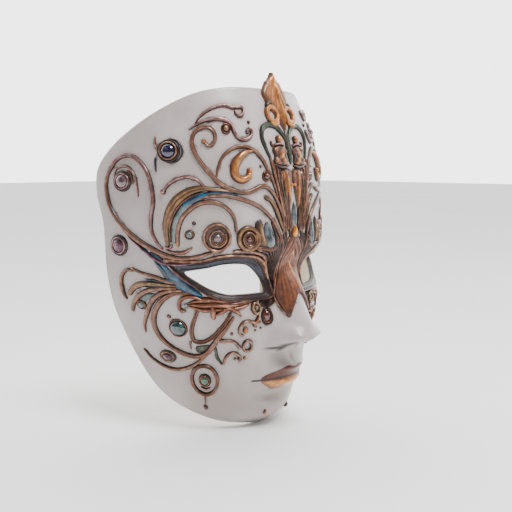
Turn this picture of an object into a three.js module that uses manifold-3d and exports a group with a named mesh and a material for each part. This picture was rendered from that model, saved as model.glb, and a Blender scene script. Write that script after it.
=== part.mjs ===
// Venetian masquerade mask: a stiff full-face shell, raised scroll ornament bonded to it, a leather patch
// inside each temple and a brass ribbon loop hinged in each patch.
// Millimetres. The face looks along -Y, +Z is up, +X is the wearer's left. z = 0 is the eye line and
// y = 0 is where the shell is widest, at the temples.
// Places on the face are [u, z]: u is the distance round the face from its centre line, z the height.
import * as THREE from "three";
import { mergeVertices } from "three/addons/utils/BufferGeometryUtils.js";
import Module from "manifold-3d";

const wasm = await Module();
wasm.setup();
const { Manifold } = wasm;

// ---- The shell ----
const MAP = 90; // millimetres of u for each radian round the face
const SHELL = 2.2; // thickness of the shell
const BOND = 0.6; // glue line under each ornament
// [height, half width of the shell at the temples]
const HALF_WIDTHS = [
  [-116, 34], [-104, 48], [-85, 61], [-55, 70], [-20, 79], [20, 83], [60, 84], [95, 80], [130, 68], [142, 62],
];
// [height, depth from the temples to the front]
const DEPTHS = [
  [-116, 68], [-104, 83], [-90, 88], [-60, 94], [-20, 98], [10, 99], [30, 102], [60, 101], [90, 96],
  [115, 87], [130, 81], [142, 79],
];
const SQUARE = 0.12; // how far the horizontal section is squarer than an ellipse
// The rim on the +X side, from the top down.
const RIM = [
  [0, 126], [50, 125.5], [77, 121], [101, 111], [121, 98.5], [137, 85], [147, 71], [147, 55], [142, 35],
  [142, 0], [138, -33], [126, -68], [107, -94], [80, -106], [40, -110.5], [0, -112],
];
const POLE = [0, -38]; // the rings of the shell's mesh close on the tip of the nose
const AROUND = 68;
const OUTER_RINGS = 24;
const INNER_RINGS = 10;

// ---- Features of the face ----
const NOSE = { top: 8, base: -40, height: 24.5, bridge: 7, flare: 8, underside: 15 };
const EYE_HOLE = [
  [84, 4], [78, 5.5], [68, 7], [58, 9], [46, 9.5], [37, 8], [29, 3.5], [24, -3], [24, -10.5], [31, -11.5],
  [44, -11.5], [55, -11], [66, -7.5], [75, -2.5],
];
// The outer line of the trim, point for point with the hole.
const EYE_TRIM = [
  [98, 12.6], [85, 12.4], [73, 13], [62, 15.8], [46, 17], [32, 15], [21, 8], [17, -4], [17.5, -15],
  [30, -16.6], [45, -16.6], [57, -16], [69, -12], [81, -3.4],
];
const EYE_AXIS = 0.58; // radians from the centre line: the way the eye hole is cut through the shell

// ---- Ribbon loop and its patch ----
const HINGE = { u: 124, z: 22 };
const PATCH = { across: 18, high: 24, thick: 1.8, gap: 0.2 };
const TUNNEL = { radius: 2.4, bore: 1.2, length: 12, inset: 1.6 };
const LOOP = { thick: 1.2, high: 20, reach: 12, leg: 3, bar: 1.8, wire: 0.8, clear: 3.4 };

// ---- Small maths ----
const bump = (distance, width) => Math.exp(-((distance / width) ** 2));
const clamp01 = (t) => Math.min(1, Math.max(0, t));
const smoothstep = (t) => clamp01(t) ** 2 * (3 - 2 * clamp01(t));

// A smooth function through [position, value] pairs, with the mean slope of its neighbours at each.
function profile(knots) {
  const slope = (i) => {
    const [a, b] = [knots[Math.max(i - 1, 0)], knots[Math.min(i + 1, knots.length - 1)]];
    return (b[1] - a[1]) / (b[0] - a[0]);
  };
  return (z) => {
    let i = 0;
    while (i < knots.length - 2 && z > knots[i + 1][0]) i += 1;
    const [z0, v0] = knots[i];
    const [z1, v1] = knots[i + 1];
    const t = (z - z0) / (z1 - z0);
    const hump = t * (1 - t) * (z1 - z0);
    return v0 + (v1 - v0) * t * t * (3 - 2 * t) + hump * (slope(i) * (1 - t) - slope(i + 1) * t);
  };
}

// Linear interpolation along a short list of values, for t from 0 to 1.
function along(values, t) {
  const at = clamp01(t) * (values.length - 1);
  const i = Math.min(Math.floor(at), values.length - 2);
  return values.length === 1 ? values[0] : values[i] + (values[i + 1] - values[i]) * (at - i);
}

const halfWidth = profile(HALF_WIDTHS);
const depth = profile(DEPTHS);

// How far the features stand out of the plain curve of the shell. The hollow side is cut a little
// blunter under the nose, so that the shell keeps its thickness there.
function relief(x, z, hollow = 0) {
  const ax = Math.abs(x);
  const down = clamp01((NOSE.top - z) / (NOSE.top - NOSE.base));
  const noseHeight = (NOSE.height - 3.5 * hollow) * down ** 1.2;
  const noseWidth = NOSE.bridge - 1.5 * hollow + NOSE.flare * down ** 1.6;
  const aboveBase = 1 - smoothstep((NOSE.base + 3 * hollow - z) / NOSE.underside);
  const lips = Math.max(0, 1 - (ax / 25) ** 2);
  return (
    3.5 * bump(ax - 26, 20) * bump(z - 19, 9) - // brow
    8 * bump(ax - 31, 19) * bump(z, 13) - // eye socket
    3 * bump(ax, 9) * bump(z - 6, 9) + // root of the nose
    4 * bump(ax - 44, 20) * bump(z + 30, 17) + // cheekbone
    noseHeight * Math.exp(-((ax / noseWidth) ** 2.4)) * aboveBase +
    (8 - 3 * hollow) * bump(ax - 13 + 1.5 * hollow, 6) * bump(z + 41 - 3 * hollow, 7) + // nostrils
    6.5 * bump(ax, 26) * bump(z + 66, 15) + // round of the mouth
    5.2 * lips * bump(z + 66, 4.4) + // upper lip
    6 * lips ** 0.8 * bump(z + 77.4, 5) - // lower lip
    3.5 * bump(ax, 20) * bump(z + 86, 4.5) + // fold above the chin
    4 * bump(ax, 17) * bump(z + 96, 9) // chin
  );
}

function surface(u, z, inset = 0, hollow = 0) {
  const angle = u / MAP;
  const x = (halfWidth(z) - inset) * Math.sin(angle);
  const front = (depth(z) - inset) * Math.cos(angle) * (1 + SQUARE * Math.sin(angle) ** 2);
  const fade = Math.sqrt(Math.max(0, Math.cos(angle)));
  return new THREE.Vector3(x, -front - relief(x, z, hollow) * fade, z);
}

// The point of the outer surface at [u, z], moved outwards by lift along the surface's normal.
function onFace(u, z, lift = 0) {
  const reach = 0.5;
  const across = surface(u + reach, z).sub(surface(u - reach, z));
  const up = surface(u, z + reach).sub(surface(u, z - reach));
  return surface(u, z).addScaledVector(across.cross(up).normalize(), lift);
}

// ---- Outlines and routes, as lists of [u, z] ----
function spline(points, count, closed = false, matched = false) {
  const knots = points.map(([u, z]) => new THREE.Vector3(u, z, 0));
  const curve = new THREE.CatmullRomCurve3(knots, closed, "centripetal");
  const samples = matched ? curve.getPoints(count) : curve.getSpacedPoints(count);
  if (closed) samples.pop();
  return samples.map((p) => [p.x, p.y]);
}

const mirrored = (points) => points.map(([u, z]) => [-u, z]);
// A closed outline from its +X half, which starts and ends on the centre line.
const bothSides = (half) => [...half, ...mirrored(half.slice(1, -1)).reverse()];

function ellipse([u, z], acrossRadius, highRadius = acrossRadius, count = 16) {
  return Array.from({ length: count }, (_, i) => {
    const angle = (i / count) * 2 * Math.PI;
    return [u + acrossRadius * Math.cos(angle), z + highRadius * Math.sin(angle)];
  });
}

// Points from the outer end of a spiral to its eye. Angles are in turns from the +u direction.
function spiral([u, z], outer, inner, from, turns, count = 7) {
  return Array.from({ length: count }, (_, i) => {
    const t = i / (count - 1);
    const angle = 2 * Math.PI * (from + turns * t);
    const radius = outer + (inner - outer) * t;
    return [u + radius * Math.cos(angle), z + radius * Math.sin(angle)];
  });
}

// ---- Solids ----
// A closed solid from rows of points: each row is one closed ring of the skin. The first and last rows
// are closed by a fan, or joined to each other when looped is true.
function skin(rows, looped = false) {
  const size = rows[0].length;
  const positions = rows.flat().flatMap((p) => p.toArray());
  const index = [];
  const last = looped ? rows.length : rows.length - 1;
  for (let r = 0; r < last; r += 1) {
    const here = r * size;
    const next = ((r + 1) % rows.length) * size;
    for (let i = 0; i < size; i += 1) {
      const j = (i + 1) % size;
      index.push(here + i, here + j, next + j, here + i, next + j, next + i);
    }
  }
  if (!looped) {
    for (let i = 1; i < size - 1; i += 1) {
      const end = (rows.length - 1) * size;
      index.push(0, i + 1, i, end, end + i, end + i + 1);
    }
  }
  return solidFrom(new Float32Array(positions), new Uint32Array(index));
}

function solidFrom(vertProperties, triVerts) {
  const solid = new Manifold(new wasm.Mesh({ numProp: 3, vertProperties, triVerts }));
  if (solid.volume() > 0) return solid;
  for (let i = 0; i < triVerts.length; i += 3) {
    [triVerts[i + 1], triVerts[i + 2]] = [triVerts[i + 2], triVerts[i + 1]];
  }
  return new Manifold(new wasm.Mesh({ numProp: 3, vertProperties, triVerts }));
}

function solidOf(geometry) {
  const loose = geometry.index ? geometry.toNonIndexed() : geometry;
  const bare = new THREE.BufferGeometry().setAttribute("position", loose.getAttribute("position"));
  const merged = mergeVertices(bare, 1e-4);
  return solidFrom(merged.getAttribute("position").array, new Uint32Array(merged.index.array));
}

// A raised strip along a route. halves are half widths from start to end; a closed route is a ring.
function strip(route, halves, height, { closed = false, steps = 1.7, lift = BOND } = {}) {
  const count = Math.max(5, Math.round(route.length * steps));
  const path = spline(route, count, closed);
  const widest = Math.max(...halves);
  const rows = path.map(([u, z], i) => {
    const before = path[closed ? (i + path.length - 1) % path.length : Math.max(i - 1, 0)];
    const after = path[closed ? (i + 1) % path.length : Math.min(i + 1, path.length - 1)];
    const length = Math.hypot(after[0] - before[0], after[1] - before[1]);
    const side = [(after[1] - before[1]) / length, -(after[0] - before[0]) / length];
    const half = along(halves, i / (path.length - 1));
    const top = height * Math.sqrt(half / widest);
    return [[-1, 0], [1, 0], [0.5, 1], [-0.5, 1]].map(([s, h]) =>
      onFace(u + side[0] * half * s, z + side[1] * half * s, lift + h * top));
  });
  return skin(rows, closed);
}

// A raised piece inside a closed outline that is seen whole from its middle. section is a list of
// [fraction of the way out from the middle, height] from the middle to the edge.
function plate(outline, section, { middle, lift = BOND, bottomRings = 1, inside = false } = {}) {
  const sum = outline.reduce(([a, b], [u, z]) => [a + u, b + z], [0, 0]);
  const [cu, cz] = middle ?? [sum[0] / outline.length, sum[1] / outline.length];
  const sign = inside ? -1 : 1;
  const ring = (out, height) =>
    outline.map(([u, z]) => onFace(cu + (u - cu) * out, cz + (z - cz) * out, sign * (lift + height)));
  const rows = section.map(([out, height]) => ring(out, height));
  for (let k = bottomRings; k > 0; k -= 1) rows.push(ring(k / bottomRings, 0));
  rows.push(ring(0.02, 0));
  return skin(rows);
}

const DOME = [[0.05, 1], [0.45, 0.9], [0.8, 0.6], [0.97, 0.2]];
const dome = (height) => DOME.map(([out, h]) => [out, h * height]);
// A bezel ring with a stone standing in it.
const BEZEL = [[0.05, 1.2], [0.5, 0.95], [0.68, 0.4], [0.82, 0.85], [0.98, 0.3]];
const bezelled = (height) => BEZEL.map(([out, h]) => [out, h * height]);

// ---- The shell's own mesh ----
function shellSolid() {
  const outline = spline(bothSides(RIM), AROUND, true);
  const ring = (out, inset, hollow) =>
    outline.map(([u, z]) =>
      surface(POLE[0] + (u - POLE[0]) * out, POLE[1] + (z - POLE[1]) * out, inset, hollow));
  const spread = (k, rings) => Math.max(0.004, (k / rings) ** 1.35);
  const rows = [];
  for (let k = 0; k <= OUTER_RINGS; k += 1) rows.push(ring(spread(k, OUTER_RINGS), 0, 0));
  for (let k = INNER_RINGS; k >= 0; k -= 1) rows.push(ring(spread(k, INNER_RINGS), SHELL, 1));
  return skin(rows);
}

// A straight cutter through the shell for one eye.
function eyeCutter() {
  const [c, s] = [Math.cos(EYE_AXIS), Math.sin(EYE_AXIS)];
  const flat = spline(EYE_HOLE, 42, true, true).map(([u, z]) => {
    const p = surface(u, z);
    return new THREE.Vector2(p.x * c + p.y * s, z);
  });
  const prism = new THREE.ExtrudeGeometry(new THREE.Shape(flat), { depth: 160, bevelEnabled: false });
  const axes = new THREE.Matrix4().makeBasis(
    new THREE.Vector3(c, s, 0), new THREE.Vector3(0, 0, 1), new THREE.Vector3(s, -c, 0));
  return solidOf(prism.applyMatrix4(axes));
}

// A flat band between the eye hole and the outer line of the trim, highest in its middle.
function eyeTrim() {
  const count = 3 * EYE_HOLE.length;
  const inner = spline(EYE_HOLE, count, true, true);
  const outer = spline(EYE_TRIM, count, true, true);
  const rows = inner.map(([u, z], i) =>
    [[0.02, 0], [0.08, 1.2], [0.55, 2.4], [0.96, 1], [1, 0], [0.5, 0]].map(([f, h]) =>
      onFace(u + (outer[i][0] - u) * f, z + (outer[i][1] - z) * f, BOND + h)));
  return skin(rows, true);
}

// ---- Ornament, drawn on the +X side ----
const COPPER = { color: 0x8c5a40, roughness: 0.42, metalness: 0.7 };
const GOLD = { color: 0xb07a3c, roughness: 0.38, metalness: 0.8 };
const PATINA = { color: 0x4f5c48, roughness: 0.55, metalness: 0.4 };
const ENAMEL = { color: 0x3f7f95, roughness: 0.2, metalness: 0.1 };
const STONE = { color: 0x5c6f78, roughness: 0.12, metalness: 0.1 };
const PORCELAIN = { color: 0xd0cacb, roughness: 0.45, metalness: 0 };
const LEATHER = { color: 0x4a3325, roughness: 0.8, metalness: 0 };
const BRASS = { color: 0xb08d4a, roughness: 0.35, metalness: 0.9 };

const CREST_LEAF = [
  [0, 139], [5, 133.5], [9.5, 129.5], [15, 124.5], [15.5, 118.5], [9, 112.5], [4.5, 105], [0, 97.5],
];
const NOSE_PLATE = [
  [0, 26.5], [4, 25], [6.5, 16], [9.5, 4], [12, -8], [13.5, -17], [10, -27], [5, -21], [0, -13],
];

const crestLeaf = () => {
  const volute = ellipse([11.5, 110], 4.6, 4.9, 9);
  return [
    plate(spline(bothSides(CREST_LEAF), 26, true), [[0.05, 3.4], [0.5, 2.6], [0.92, 1.4]],
      { middle: [0, 116] }),
    strip(volute, [1.7], 2.4, { closed: true, steps: 1.5 }),
    strip(mirrored(volute), [1.7], 2.4, { closed: true, steps: 1.5 }),
  ];
};

const crestFrame = () => {
  const arch = [[0, 88], [4, 95], [10, 101], [18, 102.5], [24.5, 99], [26, 92], [23, 84], [19.5, 77]];
  return [
    strip([[0, 94.5], [0, 86], [0, 76]], [1.8, 1.6, 0.6], 1.8),
    strip(arch, [1.2, 1.3, 1.5, 1.5, 1.2, 0.9], 1.9),
    strip(mirrored(arch), [1.2, 1.3, 1.5, 1.5, 1.2, 0.9], 1.9),
  ];
};

const crestCapital = () => [
  plate(spline([[3.4, 85], [9, 87], [15.2, 86], [13.6, 80], [15, 75.5], [9, 74.6], [4, 75.5], [4.6, 80]],
    20, true), dome(3)),
  plate(ellipse([9.8, 89.2], 2.7, 2.7, 10), dome(3)),
];

const crestBlade = () => [
  plate(spline([[3.4, 72.5], [8, 73.4], [12.4, 72.5], [10, 63], [6, 51.5], [3.6, 62]], 20, true),
    dome(2.2)),
];

const centreStem = () => [
  strip([[17, 72.6], [13.4, 64], [10.4, 53], [8, 43], [6, 33]], [0.9, 1.3, 1.4, 1], 1.8),
  strip([[10, 51], [6.4, 43], [3.8, 36]], [0.8, 1.1, 0.7], 1.6, { lift: BOND + 0.05 }),
];

const browPetal = () => [
  plate(spline([[28, 37.5], [30, 31], [25, 25], [20.5, 20.5], [18, 25.5], [21, 32], [25, 36.5]], 18,
    true), dome(1.6)),
];

const browScroll = () => [
  strip([[89, 23], [87.6, 33], [84, 41], [77.5, 46.8], [71, 49.4], [64, 50], [57, 47.4], [52, 41.5],
    [50.4, 35]], [1.2, 1.3, 1.3, 1.1, 0.8], 1.7),
  strip([[71, 50.6], [64, 53.4], [54, 54.4], [43, 52.4], [34, 48.2], [26, 42.5], [20, 36], [16.4, 29],
    [14.8, 24]], [0.8, 1.2, 1.3, 1.2, 0.8], 1.7, { lift: BOND + 0.05 }),
  strip([[89, 22.5], [92.6, 19.4], [86, 17.2], [78.5, 21]], [1.1, 1.2, 1.4, 0.7], 1.6,
    { lift: BOND + 0.1 }),
];

const browLeaf = () => [
  strip([[95.4, 24], [95.6, 34], [91.4, 45.5], [83.5, 55], [75, 59.2], [68.4, 60.2]],
    [1.3, 1.8, 2.8, 3, 1.8, 0.9], 2.4),
  strip([[70, 61], [72.6, 65], [79, 68], [86, 67], [92.5, 63], [97, 59], [97.4, 55.6]],
    [0.9, 1.1, 1.1, 1.3], 1.6, { lift: BOND + 0.05 }),
];

const enamelBrow = () => [
  strip([[91.4, 26], [91, 34], [87.4, 42.4], [81, 49.8], [75, 53.6], [66, 56.4], [58, 57]],
    [1.2, 1.5, 1.9, 2.1, 1.9, 1.1, 0.5], 1.1),
];

const enamelWing = () => [
  strip([[118, 23], [108, 14.5], [99, 7.5], [92.5, 1.5], [86.5, -3.4], [78.5, -8.4], [73, -11.4]],
    [0.5, 1.6, 2.4, 3.2, 2.8, 1.6, 0.5], 1.6),
];

const templeScroll = () => [
  strip([[99, 19.4], [104.4, 25.4], [107, 33], [106, 45], [104.6, 57], [104.6, 65], [109, 73],
    [117, 79.6], [126, 80], [133, 74.5], [136.4, 66]], [1.1, 1.3, 1.3, 1.3, 1.2], 1.8),
  strip([[133, 74], [137, 63], [135, 54], [129, 41], [118, 29.6], [107, 20.4], [99.6, 17]],
    [1.1, 1.3, 1.5, 1.7, 1.3, 0.9], 1.9, { lift: BOND + 0.05 }),
];

const foreheadScroll = () => [
  strip([[70, 88.6], [65.5, 87], [61.4, 90.6], [61.8, 95.6], [68, 99], [75, 97], [78, 91], [76, 83.4],
    [69.5, 74], [63, 66.2], [55, 60.2], [43, 57], [32, 59.6], [24.6, 60], [17.4, 56.6]],
    [1.5, 1.4, 1.3, 1.4, 1.3, 1.2, 0.9], 1.8),
  strip([[63.4, 67], [61, 73.4], [56.4, 81], [48, 86], [39.6, 87.4], [33, 85.4], [27, 81], [22, 75],
    [18.2, 66], [15.8, 57.6]], [0.8, 1, 1.2, 1.2, 1], 1.7, { lift: BOND + 0.05 }),
  strip([[77.5, 92], [75.5, 102], [68, 109.5], [56, 114], [46.5, 112.5],
    ...spiral([39.5, 110], 3.4, 2.2, 0, -0.7, 4)], [0.9, 1.3, 1.3, 1.2, 1.3], 1.7, { lift: BOND + 0.1 }),
  strip([[76.6, 97], [73.5, 102], [67, 105], [58, 106], [50, 102.5], [47, 95.5], [42, 91.6], [36.5, 92.5],
    [35.4, 96.8], [39, 98.6]], [0.8, 1.3, 1.2, 1.3, 1.6], 1.7, { lift: BOND + 0.15 }),
];

const foreheadHorn = () => [
  strip([[35, 82], [42.5, 81], [48.3, 75.5], [49, 69], [44.5, 65], [38.5, 66], [37, 71]],
    [0.6, 1.8, 2.9, 3, 2.6, 2.2, 2.2], 3),
];

const rosette = (place, radius) => [
  plate(ellipse(place, radius, radius, 16), [[0.08, 3.4], [0.26, 1.4], [0.5, 2.6], [0.64, 1.2],
    [0.88, 2.2]]),
];

const cheekFan = () => [
  strip([[92.5, -5], [101, -2.6], [110, 0.4], [120.5, 3.4], [127, -2], [130, -10], [128.4, -17]],
    [1.5, 1.5, 1.6, 1.6, 1.4, 0.7], 2),
  strip([[93, -6.4], [102, -5], [113, -6.4], [121, -9.8], [126, -16]], [1.5, 1.6, 1.6, 0.7], 1.9,
    { lift: BOND + 0.05 }),
  strip([[92, -7.8], [102, -7.6], [112, -10.8], [119.5, -16.6], [124, -26]], [1.5, 1.6, 1.6, 0.7], 1.9,
    { lift: BOND + 0.1 }),
  strip([[90.6, -9], [99, -9.8], [106.5, -14.6], [112, -23], [116, -31], [118, -40.5]],
    [1.4, 1.6, 1.6, 0.7], 1.9, { lift: BOND + 0.15 }),
];

const cheekAcanthus = () => [
  strip([[85, -19.8], [87, -22.4], [90.6, -20.6], [89.6, -17], [84, -15.8], [76, -17.2], [66, -18.8],
    [55, -20], [45, -20], [38, -18.8]], [1.2, 1.2, 1.1, 1.1, 1.6, 2, 1.9, 0.6], 2.2),
  strip([[71, -18], [77, -20.4], [77.5, -24]], [1.2, 1.5, 0.8], 1.8, { lift: BOND + 0.05 }),
  strip([[58, -20.5], [66.5, -22.6], [69.6, -25.4], [66.6, -27.6]], [1.2, 1.4, 1.1, 0.8], 1.8,
    { lift: BOND + 0.1 }),
  strip([[56.5, -21], [61.5, -28.4], [67.5, -34.6], [73.5, -41], [80, -44], [83.8, -39.6], [82, -31],
    [78, -24.6], [73, -20.5]], [1, 1.2, 1.2, 1.2, 1, 1], 1.7, { lift: BOND + 0.15 }),
];

const cheekScroll = () => [
  strip([[87, -12.8], [92, -13], [98, -15.6], [105, -22.6], [108, -31.5], [106.6, -41.5], [99, -50],
    [88.6, -54.2], [80, -54], [74, -51.4], [69.6, -46.4], [64.6, -39], [57.4, -30.4], [51, -25]],
    [0.6, 1.1, 1.4, 1.5, 1.4, 1.3, 1.6, 1.5, 0.8], 1.9),
  strip([[121, -54.5], [115, -61], [105, -64.8], [95, -64.8], [85.4, -61], [77, -55.4], [71, -48.6]],
    [0.7, 1.2, 1.3, 1], 1.7, { lift: BOND + 0.05 }),
  strip([[68, -44.5], [62, -42.4], [55, -43.2], [50, -47.6], [46.2, -48.8]], [0.9, 1.1, 1, 0.9], 1.6,
    { lift: BOND + 0.1 }),
  strip(ellipse([42, -47.4], 3.6, 3.6, 9), [1.2], 1.7, { closed: true, steps: 1.5, lift: BOND + 0.15 }),
  strip([[68.4, -46], [67, -51.5], [64.4, -57.4], [61, -60.6]], [1, 1.1, 0.8], 1.5, { lift: BOND + 0.2 }),
  strip([[61.6, -60.6], [59.4, -55.6], [55, -53], [50, -54.4], [45, -57]], [0.7, 1.1, 1, 0.7], 1.5,
    { lift: BOND + 0.25 }),
];

const cheekPendant = () => [
  strip(ellipse([77, -73.4], 11, 11.3, 12), [1.4], 1.9, { closed: true, steps: 2 }),
  strip([[78, -84.4], [79, -90], [80.4, -95.6]], [1, 1, 0.5], 1.5, { lift: BOND + 0.05 }),
];

const noseSideScroll = () => [
  plate(ellipse([25.6, -27.6], 4.2, 4.2, 12), bezelled(2.6)),
  plate(ellipse([32.2, -21.6], 2.4, 2.4, 10), dome(2)),
  strip([[27, -26.4], [31.6, -22.4]], [1, 0.9], 1.4, { lift: BOND + 0.05 }),
  strip([[27, -30.4], [32.6, -33.4], [38, -32], [43, -29.2], [48.4, -30.4], [50.4, -35], [46.6, -38.6],
    [43, -36.2], [45.4, -34]], [1, 1.2, 1.1, 1.3], 1.6, { lift: BOND + 0.1 }),
];

// ---- Ribbon hardware ----
const hinge = onFace(HINGE.u, HINGE.z, -(SHELL + BOND + PATCH.thick + TUNNEL.inset));

function cylinderAt({ x, y, z }, radius, length) {
  const upright = new THREE.CylinderGeometry(radius, radius, length, 24).rotateX(Math.PI / 2);
  return solidOf(upright.translate(x, y, z));
}

function ribbonPatch() {
  const [a, b] = [PATCH.across / 2, PATCH.high / 2];
  const corner = 3;
  const outline = [[a, corner - b], [a, b - corner], [a - corner, b], [corner - a, b], [-a, b - corner],
    [-a, corner - b], [corner - a, -b], [a - corner, -b]].map(([u, z]) => [HINGE.u - 2 + u, HINGE.z + z]);
  const pad = plate(outline, [[0.05, PATCH.thick], [0.5, PATCH.thick], [0.98, PATCH.thick]],
    { lift: SHELL + BOND + PATCH.gap, inside: true });
  const bore = cylinderAt(hinge, TUNNEL.bore, PATCH.high);
  return pad.add(cylinderAt(hinge, TUNNEL.radius, TUNNEL.length)).subtract(bore);
}

// The loop lies in a plane of constant x at rest and points back, towards the ribbon.
function ribbonLoop() {
  const box = (y0, y1, half, thick = LOOP.thick) => {
    const block = new THREE.BoxGeometry(thick, y1 - y0, 2 * half);
    return solidOf(block.translate(hinge.x, hinge.y + (y0 + y1) / 2, hinge.z));
  };
  const half = LOOP.high / 2;
  const open = half - LOOP.leg;
  const frame = box(-LOOP.wire, LOOP.reach, half);
  const besideTunnel = box(-9, LOOP.clear, open, 9);
  const slot = box(LOOP.clear + LOOP.bar, LOOP.reach - LOOP.bar, open, 9);
  return frame.subtract(besideTunnel).subtract(slot).add(cylinderAt(hinge, LOOP.wire, LOOP.high - 1));
}

// ---- Assembly ----
const mask = new THREE.Group();
mask.name = "venetian_mask";

function place(name, solid, look) {
  const { numProp, vertProperties, triVerts } = solid.getMesh();
  if (numProp !== 3) throw new Error(name + " carries more than positions");
  const geometry = new THREE.BufferGeometry();
  geometry.setAttribute("position", new THREE.BufferAttribute(vertProperties, 3));
  geometry.setIndex(new THREE.BufferAttribute(triVerts, 1));
  geometry.computeVertexNormals();
  const mesh = new THREE.Mesh(geometry, new THREE.MeshStandardMaterial(look));
  mesh.name = name;
  mask.add(mesh);
}

const joined = (solids) => Manifold.union(solids).simplify(0.01);
const single = (name, solids, look) => place(name, joined(solids), look);
function pair(name, solids, look) {
  const left = joined(solids);
  place(name + "_l", left, look);
  place(name + "_r", left.mirror([1, 0, 0]), look);
}

const cutter = eyeCutter();
place("mask_shell", shellSolid().subtract(cutter).subtract(cutter.mirror([1, 0, 0])), PORCELAIN);
single("crest_leaf", crestLeaf(), GOLD);
single("crest_frame", crestFrame(), PATINA);
single("brow_drop", [plate(ellipse([0, 31.2], 2.9, 4, 12), dome(3))], GOLD);
single("nose_plate", [plate(spline(bothSides(NOSE_PLATE), 30, true), [[0.05, 1.8], [0.5, 1.8],
  [0.93, 1.3]], { middle: [0, -4], bottomRings: 4, lift: BOND + 0.4 })], COPPER);

pair("crest_capital", crestCapital(), GOLD);
pair("crest_blade", crestBlade(), GOLD);
pair("centre_stem", centreStem(), COPPER);
pair("brow_petal", browPetal(), ENAMEL);
pair("eye_trim", [eyeTrim()], COPPER);
pair("enamel_brow", enamelBrow(), ENAMEL);
pair("enamel_wing", enamelWing(), ENAMEL);
pair("temple_scroll", templeScroll(), COPPER);
pair("brow_leaf", browLeaf(), GOLD);
pair("brow_scroll", browScroll(), COPPER);
pair("forehead_scroll", foreheadScroll(), COPPER);
pair("forehead_horn", foreheadHorn(), GOLD);
pair("rosette_outer", rosette([63, 27.8], 8.6), COPPER);
pair("rosette_inner", rosette([41, 26.4], 7.6), GOLD);
pair("temple_gem", [plate(ellipse([123.5, 64], 6.2, 6.8, 12), bezelled(2.8))], COPPER);
pair("temple_cabochon", [plate(ellipse([92, 84], 7.6, 7.6, 14), bezelled(3.4))], STONE);
pair("temple_boss", [plate(ellipse([129, 19], 6.4, 6.8, 12), bezelled(2.6))], COPPER);
pair("cheek_fan", cheekFan(), COPPER);
pair("cheek_acanthus", cheekAcanthus(), COPPER);
pair("cheek_scroll", cheekScroll(), COPPER);
pair("cheek_pendant", cheekPendant(), COPPER);
pair("pendant_gem", [plate(ellipse([77.5, -73.4], 4.4, 4.6, 10), bezelled(2.4))], STONE);
pair("cheek_cabochon", [plate(ellipse([92.5, -35], 5.4, 5.6, 12), bezelled(3))], STONE);
pair("cheek_garnet", [plate(ellipse([104, -56], 5.4, 3.9, 12), bezelled(2.2))], COPPER);
pair("nose_side_scroll", noseSideScroll(), COPPER);
pair("ribbon_patch", [ribbonPatch()], LEATHER);
pair("ribbon_loop", [ribbonLoop()], BRASS);

export default mask;
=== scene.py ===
# Looks of the venetian masquerade mask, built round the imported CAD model.
#
# Sizes are in millimetres until a mesh is made, and in metres in Blender. A place on the face is (u, z): u is
# the distance round the face from its centre line, z the height over the eye line. The face looks along -Y.
import math

import bmesh
import bpy
import numpy as np
from mathutils import Matrix, Vector
from mathutils.kdtree import KDTree


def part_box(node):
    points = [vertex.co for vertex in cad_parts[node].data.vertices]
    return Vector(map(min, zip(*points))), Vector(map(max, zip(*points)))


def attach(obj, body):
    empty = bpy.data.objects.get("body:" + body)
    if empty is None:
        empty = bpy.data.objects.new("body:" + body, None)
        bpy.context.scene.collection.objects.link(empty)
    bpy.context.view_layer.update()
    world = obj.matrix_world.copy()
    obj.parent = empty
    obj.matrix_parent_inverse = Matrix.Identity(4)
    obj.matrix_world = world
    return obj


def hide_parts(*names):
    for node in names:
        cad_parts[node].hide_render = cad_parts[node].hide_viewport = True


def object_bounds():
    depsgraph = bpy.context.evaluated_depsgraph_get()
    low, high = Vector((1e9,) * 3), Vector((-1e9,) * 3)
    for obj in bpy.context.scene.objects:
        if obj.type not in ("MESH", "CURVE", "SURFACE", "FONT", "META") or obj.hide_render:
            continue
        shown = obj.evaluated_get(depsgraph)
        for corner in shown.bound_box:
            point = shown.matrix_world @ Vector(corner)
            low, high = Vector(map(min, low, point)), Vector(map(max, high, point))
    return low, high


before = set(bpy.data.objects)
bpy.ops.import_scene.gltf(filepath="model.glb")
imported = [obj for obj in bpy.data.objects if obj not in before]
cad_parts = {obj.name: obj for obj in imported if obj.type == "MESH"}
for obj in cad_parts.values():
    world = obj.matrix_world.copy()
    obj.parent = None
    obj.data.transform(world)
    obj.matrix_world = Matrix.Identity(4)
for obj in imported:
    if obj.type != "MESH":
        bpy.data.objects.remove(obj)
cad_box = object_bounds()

MM = 0.001  # metres

# ---- The shell: the same driving dimensions as the CAD model ----
MAP = 90.0  # millimetres of u for each radian round the face
SHELL = 2.2  # thickness
# Half width and depth of the plain face, as (z, size).
HALF_WIDTHS = [(-116, 34), (-104, 48), (-85, 61), (-55, 70), (-20, 79), (20, 83), (60, 84), (95, 80),
               (130, 68), (142, 62)]
DEPTHS = [(-116, 68), (-104, 83), (-90, 88), (-60, 94), (-20, 98), (10, 99), (30, 102), (60, 101), (90, 96),
          (115, 87), (130, 81), (142, 79)]
SQUARE = 0.12  # how much fuller than an ellipse the face is between front and side
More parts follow.
